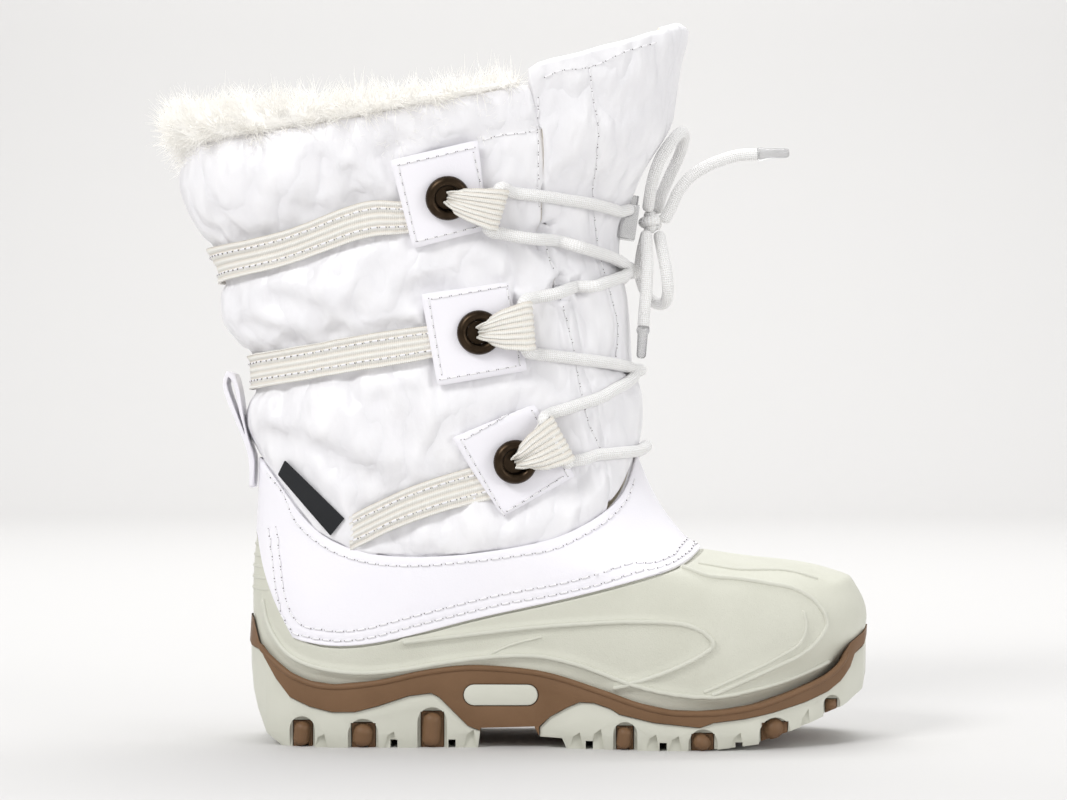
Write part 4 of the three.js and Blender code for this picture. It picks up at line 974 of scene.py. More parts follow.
def refined(piece, above):
    """Divides the outward faces of a piece once more, over a height."""
    only(piece)
    ops.object.mode_set(mode="EDIT")
    ops.mesh.select_mode(type="FACE")
    ops.mesh.select_all(action="DESELECT")
    for face in bmesh.from_edit_mesh(piece.data).faces:
        centre = face.calc_center_median()
        face.select = centre.z > above and face.normal.dot(outward_at(centre)) > 0
    bmesh.update_edit_mesh(piece.data)
    ops.mesh.subdivide(number_cuts=1, smoothness=0.6)
    ops.object.mode_set(mode="OBJECT")
    print(piece.name, len(piece.data.polygons), "faces")


refined(shaft, SHAFT_FOOT)
refined(front_panel, PANEL_FOOT)

BANDS = ["elastic_band_upper", "elastic_band_middle", "elastic_band_ankle_lateral",
         "elastic_band_ankle_medial"]
TABS = [name for name in nodes if name.startswith("tab_")]
front_tree = tree_of("upper", "tongue")
band_tree = tree_of(*BANDS)
tab_tree = tree_of(*TABS)
leather_tree = tree_of("leather_band", "side_label")

# %% [markdown]
# The swelling is worked out point by point from the distance to whatever holds the padding
# down. The creases are lines on the side view, with a depth and a half width; a negative depth
# makes a ridge.

# %% Folds of the shaft
PUFF = 0.0022
PUFF_REACH = 0.013
HELD = 0.0012
HELD_DEPTH = 0.0006
LEATHER_LEAD = 0.002
GATHER = 0.0019
GATHER_REACH = 0.013
GATHER_START = 0.003
DRIFT = 0.0012
# How fine the wrinkles are, across and up, in noise units to the metre.
FOLD_SCALES = (62, 11)
FINE_SCALES = (130, 26)
DRIFT_SCALES = (30, 17)
RIM_START = -0.055
RIM_BACK = 0.2145
RIM_SLOPE = 0.187
RIM_REACH = 0.012
CREASES = [
    ([(-34, 183), (-38, 187), (-43, 192)], 1.4, 6),
    ([(-8, 193), (-6, 199), (-4, 208)], 2.4, 8),
    ([(7, 204), (8, 200), (9, 196)], 2.0, 6),
    ([(6, 220), (5, 217), (4, 213)], 1.2, 5),
    ([(25, 217), (23, 214), (20, 210)], 1.6, 6),
    ([(-22, 160), (-16, 159), (-9, 157), (-5, 153), (-1, 149)], 2.8, 8),
    ([(-33, 152), (-24, 149), (-15, 146)], 1.8, 6),
    ([(16, 169), (14, 164), (10, 156)], 2.0, 8),
    ([(26, 160), (33, 164), (42, 166)], 1.8, 7),
    ([(-25, 111), (-18, 110), (-10, 108), (-2, 104), (5, 100), (12, 97)], 2.6, 8),
    ([(18, 124), (21, 118), (23, 113), (30, 108), (38, 103)], 2.2, 7),
    ([(-19, 128), (-20, 125), (-20, 122)], 1.4, 5),
    ([(5, 133), (6, 129), (7, 125)], 1.6, 5),
    ([(27, 127), (28, 121), (29, 115)], 1.6, 5),
    ([(20, 77), (22, 74), (25, 71)], 1.2, 5),
    ([(27, 76), (31, 74), (34, 71)], 1.2, 5),
    ([(39, 81), (43, 78), (46, 75)], 1.2, 5),
    ([(59, 160), (65, 154), (66, 146)], 1.4, 6),
    ([(38, 174), (49, 172), (57, 165)], 1.6, 7),
    ([(61, 178), (65, 173), (66, 166)], 1.4, 6),
    ([(0, 206), (1, 213), (2, 219)], -1.2, 7),
    ([(-14, 200), (-20, 204), (-28, 206)], -1.0, 8),
    ([(-6, 113), (4, 110), (12, 105)], -1.2, 8),
    ([(-18, 166), (-8, 164), (0, 162)], -1.0, 7),
]
FRONT_CREASES = [
    ([(81, 203), (88, 201), (95, 201)], 1.4, 6),
    ([(83, 235), (95, 232), (110, 231)], 1.0, 8),
    ([(79, 227), (76, 229), (75, 234)], 1.2, 6),
    ([(81, 171), (86, 176), (92, 177)], 1.6, 6),
    ([(84, 128), (92, 136), (100, 139)], 1.6, 6),
    ([(81, 118), (86, 114), (95, 113)], 1.4, 6),
]
SEAM_OUTER = [(73, 233), (73, 213), (73, 196), (74, 186), (77, 175), (80, 164), (84, 150),
              (86, 141), (88, 130), (91, 117), (95, 108)]
SEAM_INNER = [(91, 244), (92, 235), (94, 225), (94, 211), (93, 197), (94, 186), (95, 179),
              (100, 161), (102, 152), (101, 137)]
SEAM_TAB = [(52, 216), (59, 218), (67, 219), (72, 220)]
FOLD_TAB = [(21, 210), (31, 213), (38, 217), (45, 220)]
HEM_FRONT = [(74, 238), (81, 241), (91, 243), (104, 249), (117, 254)]
SEAMS = (SEAM_OUTER, SEAM_INNER, SEAM_TAB, HEM_FRONT)


def wrinkle(x, y, z, scales, shift=0, sharpness=3.0):
    """Sharp crests and broad hollows of smooth noise."""
    wide, up = scales
    return 1 - sharpness * abs(noise.noise(Vector((x * wide, y * wide, z * up + shift))))


def swell(piece):
    """Padding between the bands, and gathers beside them."""
    facing = normals(piece.data)
    amounts = np.zeros(len(facing))
    for number, (x, y, z) in enumerate(positions(piece.data)):
        if z < SHAFT_FOOT or Vector(facing[number]).dot(outward_at((x, y))) < 0.1:
            continue
        point = Vector((x, y, z))
        to_band, to_tab, to_leather = [tree.find_nearest(point)[3] for tree in (
            band_tree, tab_tree, leather_tree)]
        nearest = min(to_band, to_tab, to_leather + LEATHER_LEAD)
        share = clamped((nearest - HELD) / PUFF_REACH)
        if piece is shaft:
            under_rim = RIM_BACK + RIM_SLOPE * (x - RIM_START) - z
            share *= clamped(under_rim / RIM_REACH)
        lift = PUFF * (share * (2 - share)) - HELD_DEPTH * (1 - share)
        fold = wrinkle(x, y, z, FOLD_SCALES)
        fine = wrinkle(x, y, z, FINE_SCALES, 7)
        close = math.exp(-max(0.0, to_band - 0.001) / GATHER_REACH)
        clear_of_band = clamped((to_band - HELD) / GATHER_START)
        gather = GATHER * close * clear_of_band * (fold * 0.7 + fine * 0.3)
        slant = wrinkle(x + 0.5 * z, y, z - 0.35 * x, DRIFT_SCALES, 3, 3.2)
        amounts[number] = lift + gather + DRIFT * share * slant
    push(piece, amounts)


swell(shaft)
swell(front_panel)
shaft_tree = tree_of("quilted_shaft", "quilted_front_panel")
for piece, table in ((shaft, CREASES), (front_panel, FRONT_CREASES)):
    for places, depth, width in table:
        groove(piece, side_lines(places, shaft_tree), depth, width)
for places in SEAMS:
    for piece in (shaft, front_panel):
        groove(piece, side_lines(places, shaft_tree), *SEAM_GROOVE)
groove(shaft, side_lines(FOLD_TAB, shaft_tree), *FOLD_RIDGE)

# %% [markdown]
# The lace runs in two strands. Each starts at the cord lock, passes through a loop, crosses the
# front, passes through the next loop on the other side, and ends in the bar at the foot. Its
# path is laid over the front, and the padding beneath gives way to it.

# %% Path of the lace
LACE_LIFT = 0.0036
LOCK_ENTRY = (106.4, 7.0, 194.6)
CROSSINGS = {"upper": (107.2, 172.0), "lower": (109.2, 135.7), "bar": (113.1, 107.9)}
TUNNELS = {"upper": ((58.4, 201.1), (54.1, 185.5)), "middle": ((65.8, 159.4), (67.0, 142.7)),
           "lower": ((72.8, 118.1), (80.9, 102.7))}
TUNNEL_LIFT = 0.0064
OVER, UNDER = 0.0018, -0.0012
IN_LOOPS = (1, 4, 7)
FRONT_STEPS = 9
LACE_STEP = 0.0012


def tunnel_axis(height, side):
    """The lace's two places in a loop, above the shaft."""
    ends = []
    for x, z in TUNNELS[height]:
        place = side_hit(front_tree, x, z, side)
        ends.append(place + front_tree.find_nearest(place)[1] * TUNNEL_LIFT)
    return ends


def over_front(start, end):
    """Places between two points, laid over the front at the lace's height."""
    places = []
    for k in range(1, FRONT_STEPS):
        chord = start.lerp(end, k / FRONT_STEPS)
        outward = outward_at(chord)
        place, normal = front_tree.ray_cast(chord + outward * 0.1, -outward)[:2]
        if place is not None:
            places.append(place + normal * LACE_LIFT)
    return places


def crossing(height, lift):
    x, z = CROSSINGS[height]
    return Vector((x * MM + lift, 0, z * MM))


def strand(side, upper_lift, lower_lift):
    """One strand, from the lock through three loops to the bar."""
    x, y, z = LOCK_ENTRY
    stops = [Vector((x * MM, side * y * MM, z * MM)),
             *tunnel_axis("upper", side), crossing("upper", upper_lift),
             *tunnel_axis("middle", -side), crossing("lower", lower_lift),
             *tunnel_axis("lower", side), crossing("bar", 0)]
    path = [stops[0]]
    for number, (start, end) in enumerate(zip(stops, stops[1:])):
        if number not in IN_LOOPS:
            path += over_front(start, end)
        path.append(end)
    return curve_through(path, LACE_STEP)


strands = [strand(-1, OVER, UNDER), strand(1, UNDER, OVER)]

# %% [markdown]
# A lace under tension sinks into padding. First the padding is pressed into a valley below each
# strand, and then a strand is lifted wherever a seam or a fold would still swallow it.

# %% Lace and padding
WALL = 0.0028
VALLEY = 0.011
PRESS_REACH = 0.012
PRESS_MOST = 0.008
SHOW = 0.45
RAISE_MOST = 0.005
SPREAD = 9


def pressed_by(piece, lines):
    """Pushes padding down under cords, into valleys with soft sides."""
    tree = nearest_of([place for line in lines for place in line])
    points = positions(piece.data)
    facing = normals(piece.data)
    for number, point in enumerate(points):
        place, _, distance = tree.find(point)
        if distance > PRESS_REACH:
            continue
        outward = outward_at(point)
        height = (Vector(point) - place).dot(outward)
        aside = math.sqrt(max(0.0, distance ** 2 - height ** 2))
        room = -0.8 * LACE_RADIUS + aside * aside / VALLEY
        if Vector(facing[number]).dot(outward) < 0:
            room -= WALL
        if -PRESS_MOST < room - height < 0:
            points[number] += np.array(outward) * (room - height)
    move_points(piece, points)


pressed_by(shaft, strands)
pressed_by(front_panel, strands)
padding_tree = tree_of("quilted_shaft", "quilted_front_panel")


def near(values, k):
    return values[max(k - SPREAD, 0):k + SPREAD + 1]


def raised(line):
    """A strand lifted out of the padding wherever it would sink in."""
    directions = [outward_at(place) for place in line]
    lifts = []
    for place, outward in zip(line, directions):
        met = padding_tree.ray_cast(place + outward * 0.02, -outward)[0]
        hidden = SHOW * LACE_RADIUS - (place - met).dot(outward) if met is not None else 0.0
        lifts.append(min(RAISE_MOST, max(0.0, hidden)))
    wide = [max(near(lifts, k)) for k in range(len(lifts))]
    smooth = [sum(near(wide, k)) / len(near(wide, k)) for k in range(len(wide))]
    print("strand raised by up to", round(max(smooth) / MM, 1), "mm")
    return [place + outward * lift for place, outward, lift in zip(line, directions, smooth)]


strands = [raised(line) for line in strands]


# %% [markdown]
# The shaft is lined with pile, so its inward faces take that finish. Then its seams are sewn.

# %% Lining and seams
def lined(piece, node):
    """Gives a padded piece nylon outside and the lining inside."""
    finished(piece, nylon, node)
    piece.data.materials.append(lining.material)
    for polygon in piece.data.polygons:
        polygon.material_index = int(polygon.normal.dot(outward_at(polygon.center)) < -0.2)


lined(shaft, "upper")
lined(front_panel, "tongue")
final_tree = tree_of("quilted_shaft", "quilted_front_panel")
for number, places in enumerate(SEAMS):
    sewn(f"shaft_stitches_{number + 1}", side_lines(places, final_tree), *SHAFT_STITCH)

# %% [markdown]
# Each elastic band is woven webbing with lengthwise ribs. Its edges are found by looking at the
# plain solid from all round. They are carried on a little under the tabs and the leather, sinking
# as they go, and a grid between them is raised into ribs and thickened.

# %% Elastic webbing
BAND_AXIS = Vector((0.012, 0, 0))
BAND_HEIGHT = 0.0021
BAND_RIBS = 6
BAND_STEPS = BAND_RIBS * 6
RIB_HEIGHT = 0.00028
FRILL = 0.0002
WEBBING_THICKNESS = 0.0009
LOOK_STEP = 0.0006
LEAST_TALL = 0.003
UNDER_TAB = 11
UNDER_LEATHER = 9
SINK = 0.0011
SINK_TURN = 5
END_SPAN = 8
EVEN_REACH = 3
SMOOTH_ANGLE = math.radians(50)


def seen_from(angle, height, tree):
    """Where a level look at the shaft's axis meets a solid."""
    start = BAND_AXIS + level(angle) * FAR + Vector((0, 0, height))
    return tree.ray_cast(start, -level(angle), FAR)[0]


def band_edges(tree, low, high):
    """Angle, bottom and top of a band, in steps of one degree, as smooth curves."""
    heights = [low + k * LOOK_STEP for k in range(int((high - low) / LOOK_STEP) + 1)]
    edges = []
    for degree in range(0, 361):
        angle = math.radians(degree)
        met = [h for h in heights if seen_from(angle, h, tree) is not None]
        if met and met[-1] - met[0] > LEAST_TALL:
            edges.append((angle, met[0], met[-1]))
    angles, bottoms, tops = np.array(edges).T
    whole = tops - bottoms > 0.85 * np.median(tops - bottoms)
    order = 7 if np.ptp(angles) > 1.5 else 1
    middle = angles.mean()
    curves = []
    for values in (bottoms, tops):
        fit = np.polyfit(angles[whole] - middle, values[whole], order)
        curves.append(np.polyval(fit, angles - middle))
    return list(zip(angles, *curves))


def carried_on(end, inner, degrees):
    """A band's edges beyond its end, straight on and sinking."""
    span = end[0] - inner[0]
    slopes = [(end[k] - inner[k]) / span for k in (1, 2)]
    more = []
    for degree in range(1, degrees + 1):
        turn = math.copysign(math.radians(degree), span)
        more.append((end[0] + turn, end[1] + slopes[0] * turn, end[2] + slopes[1] * turn,
                     SINK * min(1, degree / SINK_TURN)))
    return more


def evened(grid):
    """Averages a grid of vectors along its first axis, to take out facets."""
    window = 2 * EVEN_REACH + 1
    padded = np.concatenate([grid[:1]] * EVEN_REACH + [grid] + [grid[-1:]] * EVEN_REACH)
    return sum(padded[k:k + len(grid)] for k in range(window)) / window


def webbing_band(node, name):
    low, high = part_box(node)
    edges = [(*edge, 0.0) for edge in band_edges(tree_of(node), low.z - MM, high.z + MM)]
    before, after = [UNDER_LEATHER if node.endswith(ending) else UNDER_TAB
                     for ending in ("ankle_lateral", "ankle_medial")]
    edges = (carried_on(edges[0], edges[END_SPAN], before)[::-1] + edges
             + carried_on(edges[-1], edges[-1 - END_SPAN], after))
    shares = np.arange(BAND_STEPS + 1) / BAND_STEPS
    middles = [seen_from(angle, (bottom + top) / 2, front_tree) for angle, bottom, top, _ in edges]
    aims = []
    facings = []
    for middle, (angle, bottom, top, _) in zip(middles, edges):
        frill = FRILL * noise.noise(middle * 300)
        heights = bottom - frill + (top - bottom + 2 * frill) * shares
        met = on_surface([seen_from(angle, height, front_tree) for height in heights], front_tree)
        aims.append([place for place, _ in met])
        facings.append([normal for _, normal in met])
    aims = evened(evened(np.array(aims)).swapaxes(0, 1)).swapaxes(0, 1)
    facings = evened(np.array(facings)).mean(axis=1, keepdims=True)
    facings /= np.linalg.norm(facings, axis=2)[:, :, None]
    relief = RIB_HEIGHT * (1 - abs(2 * shares - 1) ** 12) * (
        0.5 - 0.5 * np.cos(TURN * BAND_RIBS * shares))
    sinks = np.array([edge[3] for edge in edges])
    lifts = BAND_HEIGHT + relief[None, :] - sinks[:, None]
    rows = [[Vector(place) for place in row] for row in aims + facings * lifts[:, :, None]]
    marks = [[(run, share * BAND_RIBS * RIB_PITCH) for share in shares]
             for run in reaches_along(middles)]
    piece = grid_piece(name, rows, marks)
    outward = piece.data.polygons[0].normal.dot(Vector(facings[0, 0])) > 0
    apply_modifier(piece, "SOLIDIFY", thickness=WEBBING_THICKNESS, offset=-1.0 if outward else 1.0)
    finished(mended(piece), webbing, node)
    ops.object.shade_smooth_by_angle(angle=SMOOTH_ANGLE)
    skin = tree_of(name)
    for edge, share in (("low", 0.25), ("high", 0.75)):
        path = [row[round(share * BAND_STEPS)] for row in rows]
        sewn(f"{name}_stitches_{edge}", [on_surface(path, skin)], *BAND_STITCH)


for node in BANDS:
    webbing_band(node, node.replace("elastic_band", "webbing"))

# %% [markdown]
# The square tabs are coated leather with a row of stitches inside the border. The eyelets are
# turned rings, laid square to their tab: the thin direction of each plain ring is its axis.

# %% Tabs and eyelets
TAB_INSET = 2.3
EYELET_PROFILE = [(0.05, -1.7), (4.1, -1.7), (4.3, 0.4), (4.6, 1.3), (5.2, 2.0), (6.0, 2.3),
                  (6.8, 2.0), (7.5, 1.3), (7.85, 0.5), (7.9, 0.0), (7.2, 0.0), (4.6, -0.2),
                  (4.4, -2.0), (0.05, -2.0)]


def axis_of(node):
    """The centre of a flat ring, the direction of its axis, outward, and half its height."""
    points = positions(nodes[node].data)
    centre = points.mean(axis=0)
    axis = Vector(np.linalg.svd(points - centre, full_matrices=False)[2][2])
    if axis.dot(outward_at(centre)) < 0:
        axis = -axis
    half = max(abs(Vector(point - centre).dot(axis)) for point in points)
    return Vector(centre), axis, half


def turned(name, profile, centre, axis, turns=48):
    """A turned part: a profile of (radius, height) in mm round an axis."""
    side = axis.orthogonal().normalized()
    other = axis.cross(side)
    angles = [TURN * k / turns for k in range(turns + 1)]
    rows = []
    for radius, height in profile:
        rows.append([centre + axis * height * MM + spoke(side, other, a) * radius * MM
                     for a in angles])
    marks = [[(a * radius * MM, height * MM) for a in angles] for radius, height in profile]
    piece = mended(grid_piece(name, rows, marks), MERGE)
    ops.object.shade_smooth_by_angle(angle=SMOOTH_ANGLE)
    return piece


eyelets = {}
for node in TABS:
    tab = smoothed(node, node.replace("tab", "leather_tab"), 2)
    finished(tab, leather, node)
    ring = node.replace("tab", "eyelet")
    centre, axis, half = axis_of(ring)
    eyelets[ring] = centre, axis
    row = square_row(tab, centre, axis, TAB_INSET * MM)
    sewn(node.replace("tab", "tab_stitches"), [row], *TAB_STITCH)
    piece = turned(ring.replace("eyelet", "rolled_eyelet"), EYELET_PROFILE,
                   centre - axis * half, axis)
    finished(piece, bronze, ring)

# %% [markdown]
# An elastic loop comes out of each eyelet and holds the lace. It is one strip of webbing that
# is folded small in the hole, fans out over the lace, wraps round it and goes back beneath.

# %% Elastic loops
LOOP_RIBS = 8
LOOP_STEPS = LOOP_RIBS * 6
LOOP_RIB_HEIGHT = 0.00022
LOOP_FOLD = 0.0016
LOOP_THICKNESS = 0.0006
NARROWEST = 0.002


def loop_spine(centre, axis, middle, toward, half):
    """The strip's middle line, from the hole over the lace and back, with half widths in mm."""
    bend = LACE_RADIUS + 0.0008
    low = centre + toward * 0.0006 - axis * 0.0019
    wide = half / MM
    return [(low, 2.6), (centre + toward * 0.0026 + axis * 0.0016, 4.4),
            (centre.lerp(middle, 0.5) + axis * 0.0034, 0.8 * wide),
            (middle + axis * bend, wide), (middle + (axis + toward) * bend * 0.72, wide),
            (middle + toward * bend, wide), (middle + (toward - axis) * bend * 0.72, wide),
            (middle - axis * bend, wide), (centre.lerp(middle, 0.5) - axis * 0.0004, 0.66 * wide),
            (centre + toward * 0.0034 + axis * 0.0002, 3.4), (low - axis * 0.0004, 1.8)]


def elastic_loop(node, name, centre, axis, tunnel):
    top, bottom = tunnel
    middle = (top + bottom) / 2
    toward = middle - centre
    toward = (toward - axis * toward.dot(axis)).normalized()
    across = (top - bottom).normalized()
    half = (top - bottom).length / 2
    spine = loop_spine(centre, axis, middle, toward, half)
    line = curve_through([point for point, _ in spine], LOOK_STEP)
    reaches = reaches_along(line)
    stops = [reaches[min(range(len(line)), key=lambda k: (line[k] - point).length)]
             for point, _ in spine]
    stops[0], stops[-1] = 0.0, reaches[-1]
    order = sorted(zip(stops, [width for _, width in spine]))
    widths = np.interp(reaches, [stop for stop, _ in order], [width for _, width in order]) * MM
    rows = []
    for k, (place, width) in enumerate(zip(line, widths)):
        normal = heading(line, k).cross(across).normalized()
        reference = axis if k < len(line) / 3 else last_normal
        if normal.dot(reference) < 0:
            normal = -normal
        last_normal = normal
        folded = LOOP_FOLD * max(0.0, 1 - (width - NARROWEST) / (half - NARROWEST))
        row = []
        for share in np.linspace(-1, 1, LOOP_STEPS + 1):
            fold = folded * (math.cos(math.pi * share * 2) * -0.7 - share * share * 0.8)
            rib = LOOP_RIB_HEIGHT * min(1, width / half) * math.cos(
                math.pi * LOOP_RIBS * (share + 1))
            row.append(place + across * width * share + normal * (fold - rib))
        rows.append(row)
    marks = [[(run, j / LOOP_STEPS * LOOP_RIBS * RIB_PITCH) for j in range(LOOP_STEPS + 1)]
             for run in reaches]
    piece = grid_piece(name, rows, marks)
    apply_modifier(piece, "SOLIDIFY", thickness=LOOP_THICKNESS, offset=0.0)
    ops.object.shade_smooth_by_angle(angle=SMOOTH_ANGLE)
    finished(piece, webbing, node)


# %% [markdown]
# With the paths known, the two strands are round braided cords, and each loop is folded round
# its own stretch of lace.

# %% Lace and its loops
lace = join("shoe_lace", [tube(f"strand_{k}", line, LACE_RADIUS) for k, line in
                          enumerate(strands)])
finished(lace, braid, "lace")
for ring, (centre, axis) in eyelets.items():
    _, height, side_name = ring.split("_")
    node = ring.replace("eyelet", "elastic_loop")
    elastic_loop(node, node.replace("elastic_loop", "webbing_loop"), centre, axis,
                 tunnel_axis(height, -1 if side_name == "lateral" else 1))

# %% [markdown]
# The bow is tied in front of the cord lock. Two loops and two ends leave the knot, each along
# its own path from it, and every end has a plastic tip.

# %% Knot, bow and tips
KNOT = Vector((114.45, 0.0, 190.6)) * MM
LOOP_UP = [(-0.8, -2.5, 5.1), (-0.3, -5, 9.5), (1, -7, 16), (3.6, -8, 23), (8, -6.5, 29.5),
           (11.5, -1, 33), (12.8, 5, 31.5), (11.5, 9.5, 26), (8.3, 9.5, 19), (5.2, 6.5, 12),
           (2.7, 2.7, 4.9)]
LOOP_DOWN = [(-1.4, 3.2, -5.1), (-2.8, 5.5, -11), (-3.4, 8, -18), (-1.6, 9.5, -25),
             (2, 8, -29.5), (5.4, 2.5, -30), (6.4, -3, -26), (5.8, -5, -19), (4.4, -3, -11),
             (3.4, 0.4, -5.1)]
END_FRONT = [(5.4, -1.6, 1), (7.9, -2.8, 5.8), (10.4, -4, 11.2), (15.3, -5, 16.8),
             (22, -6, 20.8), (32, -6.5, 24), (38.6, -6.5, 24.4)]
END_DOWN = [(-1.7, -4.4, -4.9), (-1.5, -5.5, -10), (-1.3, -7, -16), (-1.7, -8.5, -25),
            (-2.4, -9.5, -32), (-2.9, -10, -38.5)]
TIP_PROFILE = [(0.1, 0.0), (1.9, 0.0), (2.35, 0.5), (2.4, 2.0), (1.9, 3.2), (1.75, 11.0),
               (1.2, 11.8), (0.1, 12.0)]


WRAP_RADIUS = 0.0029
WRAP_TURNS = 1.25
WRAP_STEPS = 60
WRAP_RISE = 0.0012
HEART_HALF = 0.0026
TIP_GAP = 0.0003


def from_knot(points):
    return curve_through([KNOT + Vector(point) * MM for point in points], MM)


def bow_cord(name, node, line, end, lay, **more):
    """A round cord from the knot."""
    piece = finished(tube(name, line, LACE_RADIUS), braid, node)
    length = reaches_along(line)[-1]


bow_cord("bow_loop_up", "bow_loop_upper", from_knot(LOOP_UP), "object", "loose")
bow_cord("bow_loop_down", "bow_loop_lower", from_knot(LOOP_DOWN), "object", "loose")
for way, points, lay in (("front", END_FRONT, "loose"), ("down", END_DOWN, "hanging")):
    line = from_knot(points)
    along = (line[-1] - line[-2]).normalized()
    tip = turned(f"lace_tip_{way}", TIP_PROFILE, line[-1] + along * TIP_GAP, along, 24)
    finished(tip, clear, f"aglet_{way}")
    bow_cord(f"lace_tail_{way}", f"lace_end_{way}", line, "fitting", lay, with_pieces=(tip,))

wrap = []
for k in range(WRAP_STEPS + 1):
    angle = TURN * WRAP_TURNS * k / WRAP_STEPS
    wrap.append(KNOT + Vector((math.cos(angle) * WRAP_RADIUS * 0.85,
                               math.sin(angle) * WRAP_RADIUS * 1.15,
                               WRAP_RISE * (k / (WRAP_STEPS / 2) - 1))))
heart = [KNOT + Vector((0, 0, HEART_HALF * (k / 8 - 1))) for k in range(17)]
knot = join("bow_knot", [tube("knot_wrap", wrap, 0.0019), tube("knot_heart", heart, 0.0024)])
finished(knot, braid, "lace_knot")

# %% [markdown]
# The cord lock is a block of clear plastic with a push button, and the last small parts follow:
# the loop at the heel for pulling the boot on, and the plain label sewn beside it.

# %% Lock, pull loop and label
finished(eased("cord_lock", "clear_cord_lock", 0.0007, 3), clear, "cord_lock")
finished(smoothed("pull_loop", "leather_pull_loop", 3), leather, "pull_loop")
finished(eased("side_label", "black_side_label", 0.0003), label_weave, "side_label")

# %% [markdown]
# The fur is a soft base with thousands of fine curved hairs. Their roots are scattered evenly
# over the base, and each hair bends a little further outward along its length.

# %% Fur collar
HAIR_STEPS = 4
HAIR_SIDES = 3
HIDDEN_SHARE = 0.25
CLUMPS = 140
OUTWARD_SHARE = 0.75
UPWARD_SHARE = 0.55
WANDER = 0.42
CURL = 0.35
TAPER = 0.85
fur = smoothed("collar_fur", "fur_base", 1, sharp=80, crease=0.2)
finished(fur, pile, "collar_fur")


def hair_faces():
    """The side faces of one hair."""
    faces = []
    for step in range(HAIR_STEPS - 1):
        for k in range(HAIR_SIDES):
            a, b = step * HAIR_SIDES + k, step * HAIR_SIDES + (k + 1) % HAIR_SIDES
            faces.append((a, b, b + HAIR_SIDES, a + HAIR_SIDES))
    return np.array(faces)


def hairs(name, count, length, radius, seed):
    """Curved hairs with three sides, fewer of them where the base faces the foot."""
    rng = np.random.default_rng(seed)
    mesh = fur.data
    mesh.calc_loop_triangles()
    corners = np.array([triangle.vertices for triangle in mesh.loop_triangles])
    a, b, c = positions(mesh)[corners].swapaxes(0, 1)
    face_normals = np.cross(b - a, c - a)
    areas = np.linalg.norm(face_normals, axis=1) / 2
    upward = face_normals[:, 2] / (2 * areas + 1e-12)
    outer = (a[:, 0] - AXIS_X) * face_normals[:, 0] + a[:, 1] * face_normals[:, 1] > 0
    weights = areas * np.where((upward > -0.2) | outer, 1.0, HIDDEN_SHARE)
    chosen = rng.choice(len(areas), size=count, p=weights / weights.sum())
    u = rng.random((count, 1))
    v = rng.random((count, 1))
    swap = u + v > 1
    u, v = np.where(swap, 1 - u, u), np.where(swap, 1 - v, v)
    root = a[chosen] * (1 - u - v) + b[chosen] * u + c[chosen] * v
    normal = normals(mesh)[corners[chosen, 0]]
    wander = rng.normal(0, WANDER, (count, 3))
    clump = np.array([noise.noise_vector(Vector(p) * CLUMPS) for p in root])
    way = normal * OUTWARD_SHARE + np.array([0, 0, UPWARD_SHARE]) + wander * 0.6 + clump * 0.9
    way /= np.linalg.norm(way, axis=1)[:, None]
    bend = rng.normal(0, 0.5, (count, 3)) + clump * 0.8
    size = length * (0.6 + 0.6 * rng.random((count, 1)))
    side = np.cross(way, rng.normal(0, 1, (count, 3)))
    side /= np.linalg.norm(side, axis=1)[:, None]
    other = np.cross(way, side)
    rings = []
    for t in np.arange(HAIR_STEPS) / (HAIR_STEPS - 1):
        centre = root + (way * t + bend * t * t * CURL) * size
        thick = radius * (1 - TAPER * t)
        for k in range(HAIR_SIDES):
            rings.append(centre + spoke(side, other, TURN * k / HAIR_SIDES) * thick)
    cloud = np.stack(rings, axis=1).reshape(-1, 3)
    starts = HAIR_STEPS * HAIR_SIDES * np.arange(count)
    faces = (hair_faces()[None] + starts[:, None, None]).reshape(-1, 4)
    piece = made_piece(name, cloud.tolist(), faces.tolist())
    only(piece)
    ops.object.shade_smooth()
    finished(piece, pile)


hairs("fur_hairs_long", 10500, 0.0075, 0.00017, 3)
hairs("fur_hairs_short", 10800, 0.0046, 0.00022, 8)

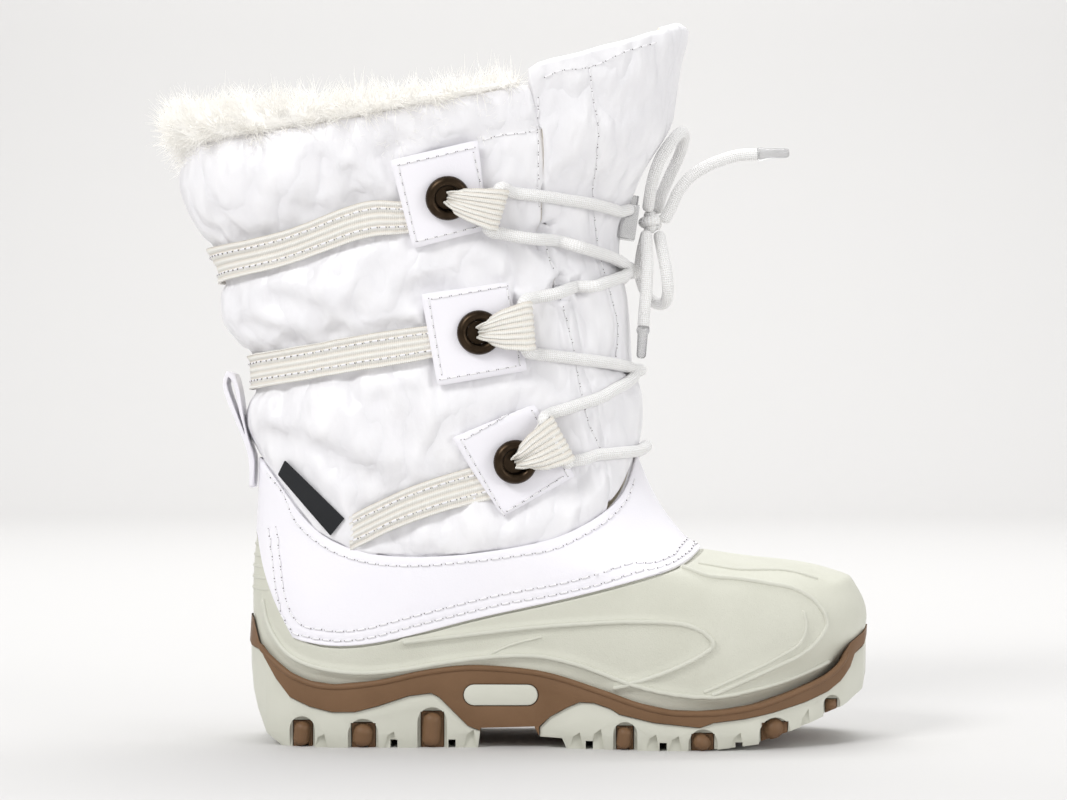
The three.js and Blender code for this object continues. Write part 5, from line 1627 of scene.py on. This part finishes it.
# %% [markdown]
# Floor and light: a pale sweep that turns up behind the boot, and large soft lamps as in a
# product picture.

# %% Stage and light
FLOOR_HALF = 2.6
SWEEP_START = 1.9
SWEEP_RADIUS = 0.6
WALL_HEIGHT = 2.4
SWEEP_STEPS = 12
profile = [(-FLOOR_HALF, 0.0), (SWEEP_START, 0.0)]
for number in range(1, SWEEP_STEPS + 1):
    angle = math.radians(90) * number / SWEEP_STEPS
    profile.append((SWEEP_START + SWEEP_RADIUS * math.sin(angle),
                    SWEEP_RADIUS * (1 - math.cos(angle))))
profile.append((SWEEP_START + SWEEP_RADIUS, WALL_HEIGHT))
count = len(profile)
sweep_points = [(x, y, z) for x in (-FLOOR_HALF * 1.6, FLOOR_HALF * 1.6) for y, z in profile]
sweep = made_piece("studio_sweep", sweep_points, [
    (k, k + count, k + count + 1, k + 1) for k in range(count - 1)])
paper = Finish("studio_paper", "felt", Roughness=0.9)
paper.set(Base_Color=(*tint("d4d3d2"), 1.0))
sweep.data.materials.append(paper.material)
only(sweep)
ops.object.shade_smooth()


def lamp(name, place, target, size, power):
    data = bpy.data.lights.new(name, "AREA")
    data.shape = "RECTANGLE"
    data.size, data.size_y = size
    data.energy = power
    light = bpy.data.objects.new(name, data)
    light.location = place
    light.rotation_euler = (Vector(target) - Vector(place)).to_track_quat("-Z", "Y").to_euler()
    scene.collection.objects.link(light)


lamp("key_light", (-0.8, -1.0, 1.1), (0.05, 0, 0.12), (0.55, 0.45), 12.2)
lamp("fill_light", (1.3, -0.9, 0.5), (0.08, 0, 0.1), (0.7, 0.7), 5.6)
lamp("top_light", (0.15, 0.3, 1.4), (0.05, 0, 0.1), (1.0, 0.8), 8.4)
lamp("wall_light", (0.1, 0.9, 1.9), (0.1, 2.4, 0.6), (2.4, 0.6), 35)
world = bpy.data.worlds.new("studio")
world.use_nodes = True
backdrop = world.node_tree.nodes["Background"].inputs
backdrop["Color"].default_value = (1, 1, 1, 1)
backdrop["Strength"].default_value = 0.56
scene.world = world
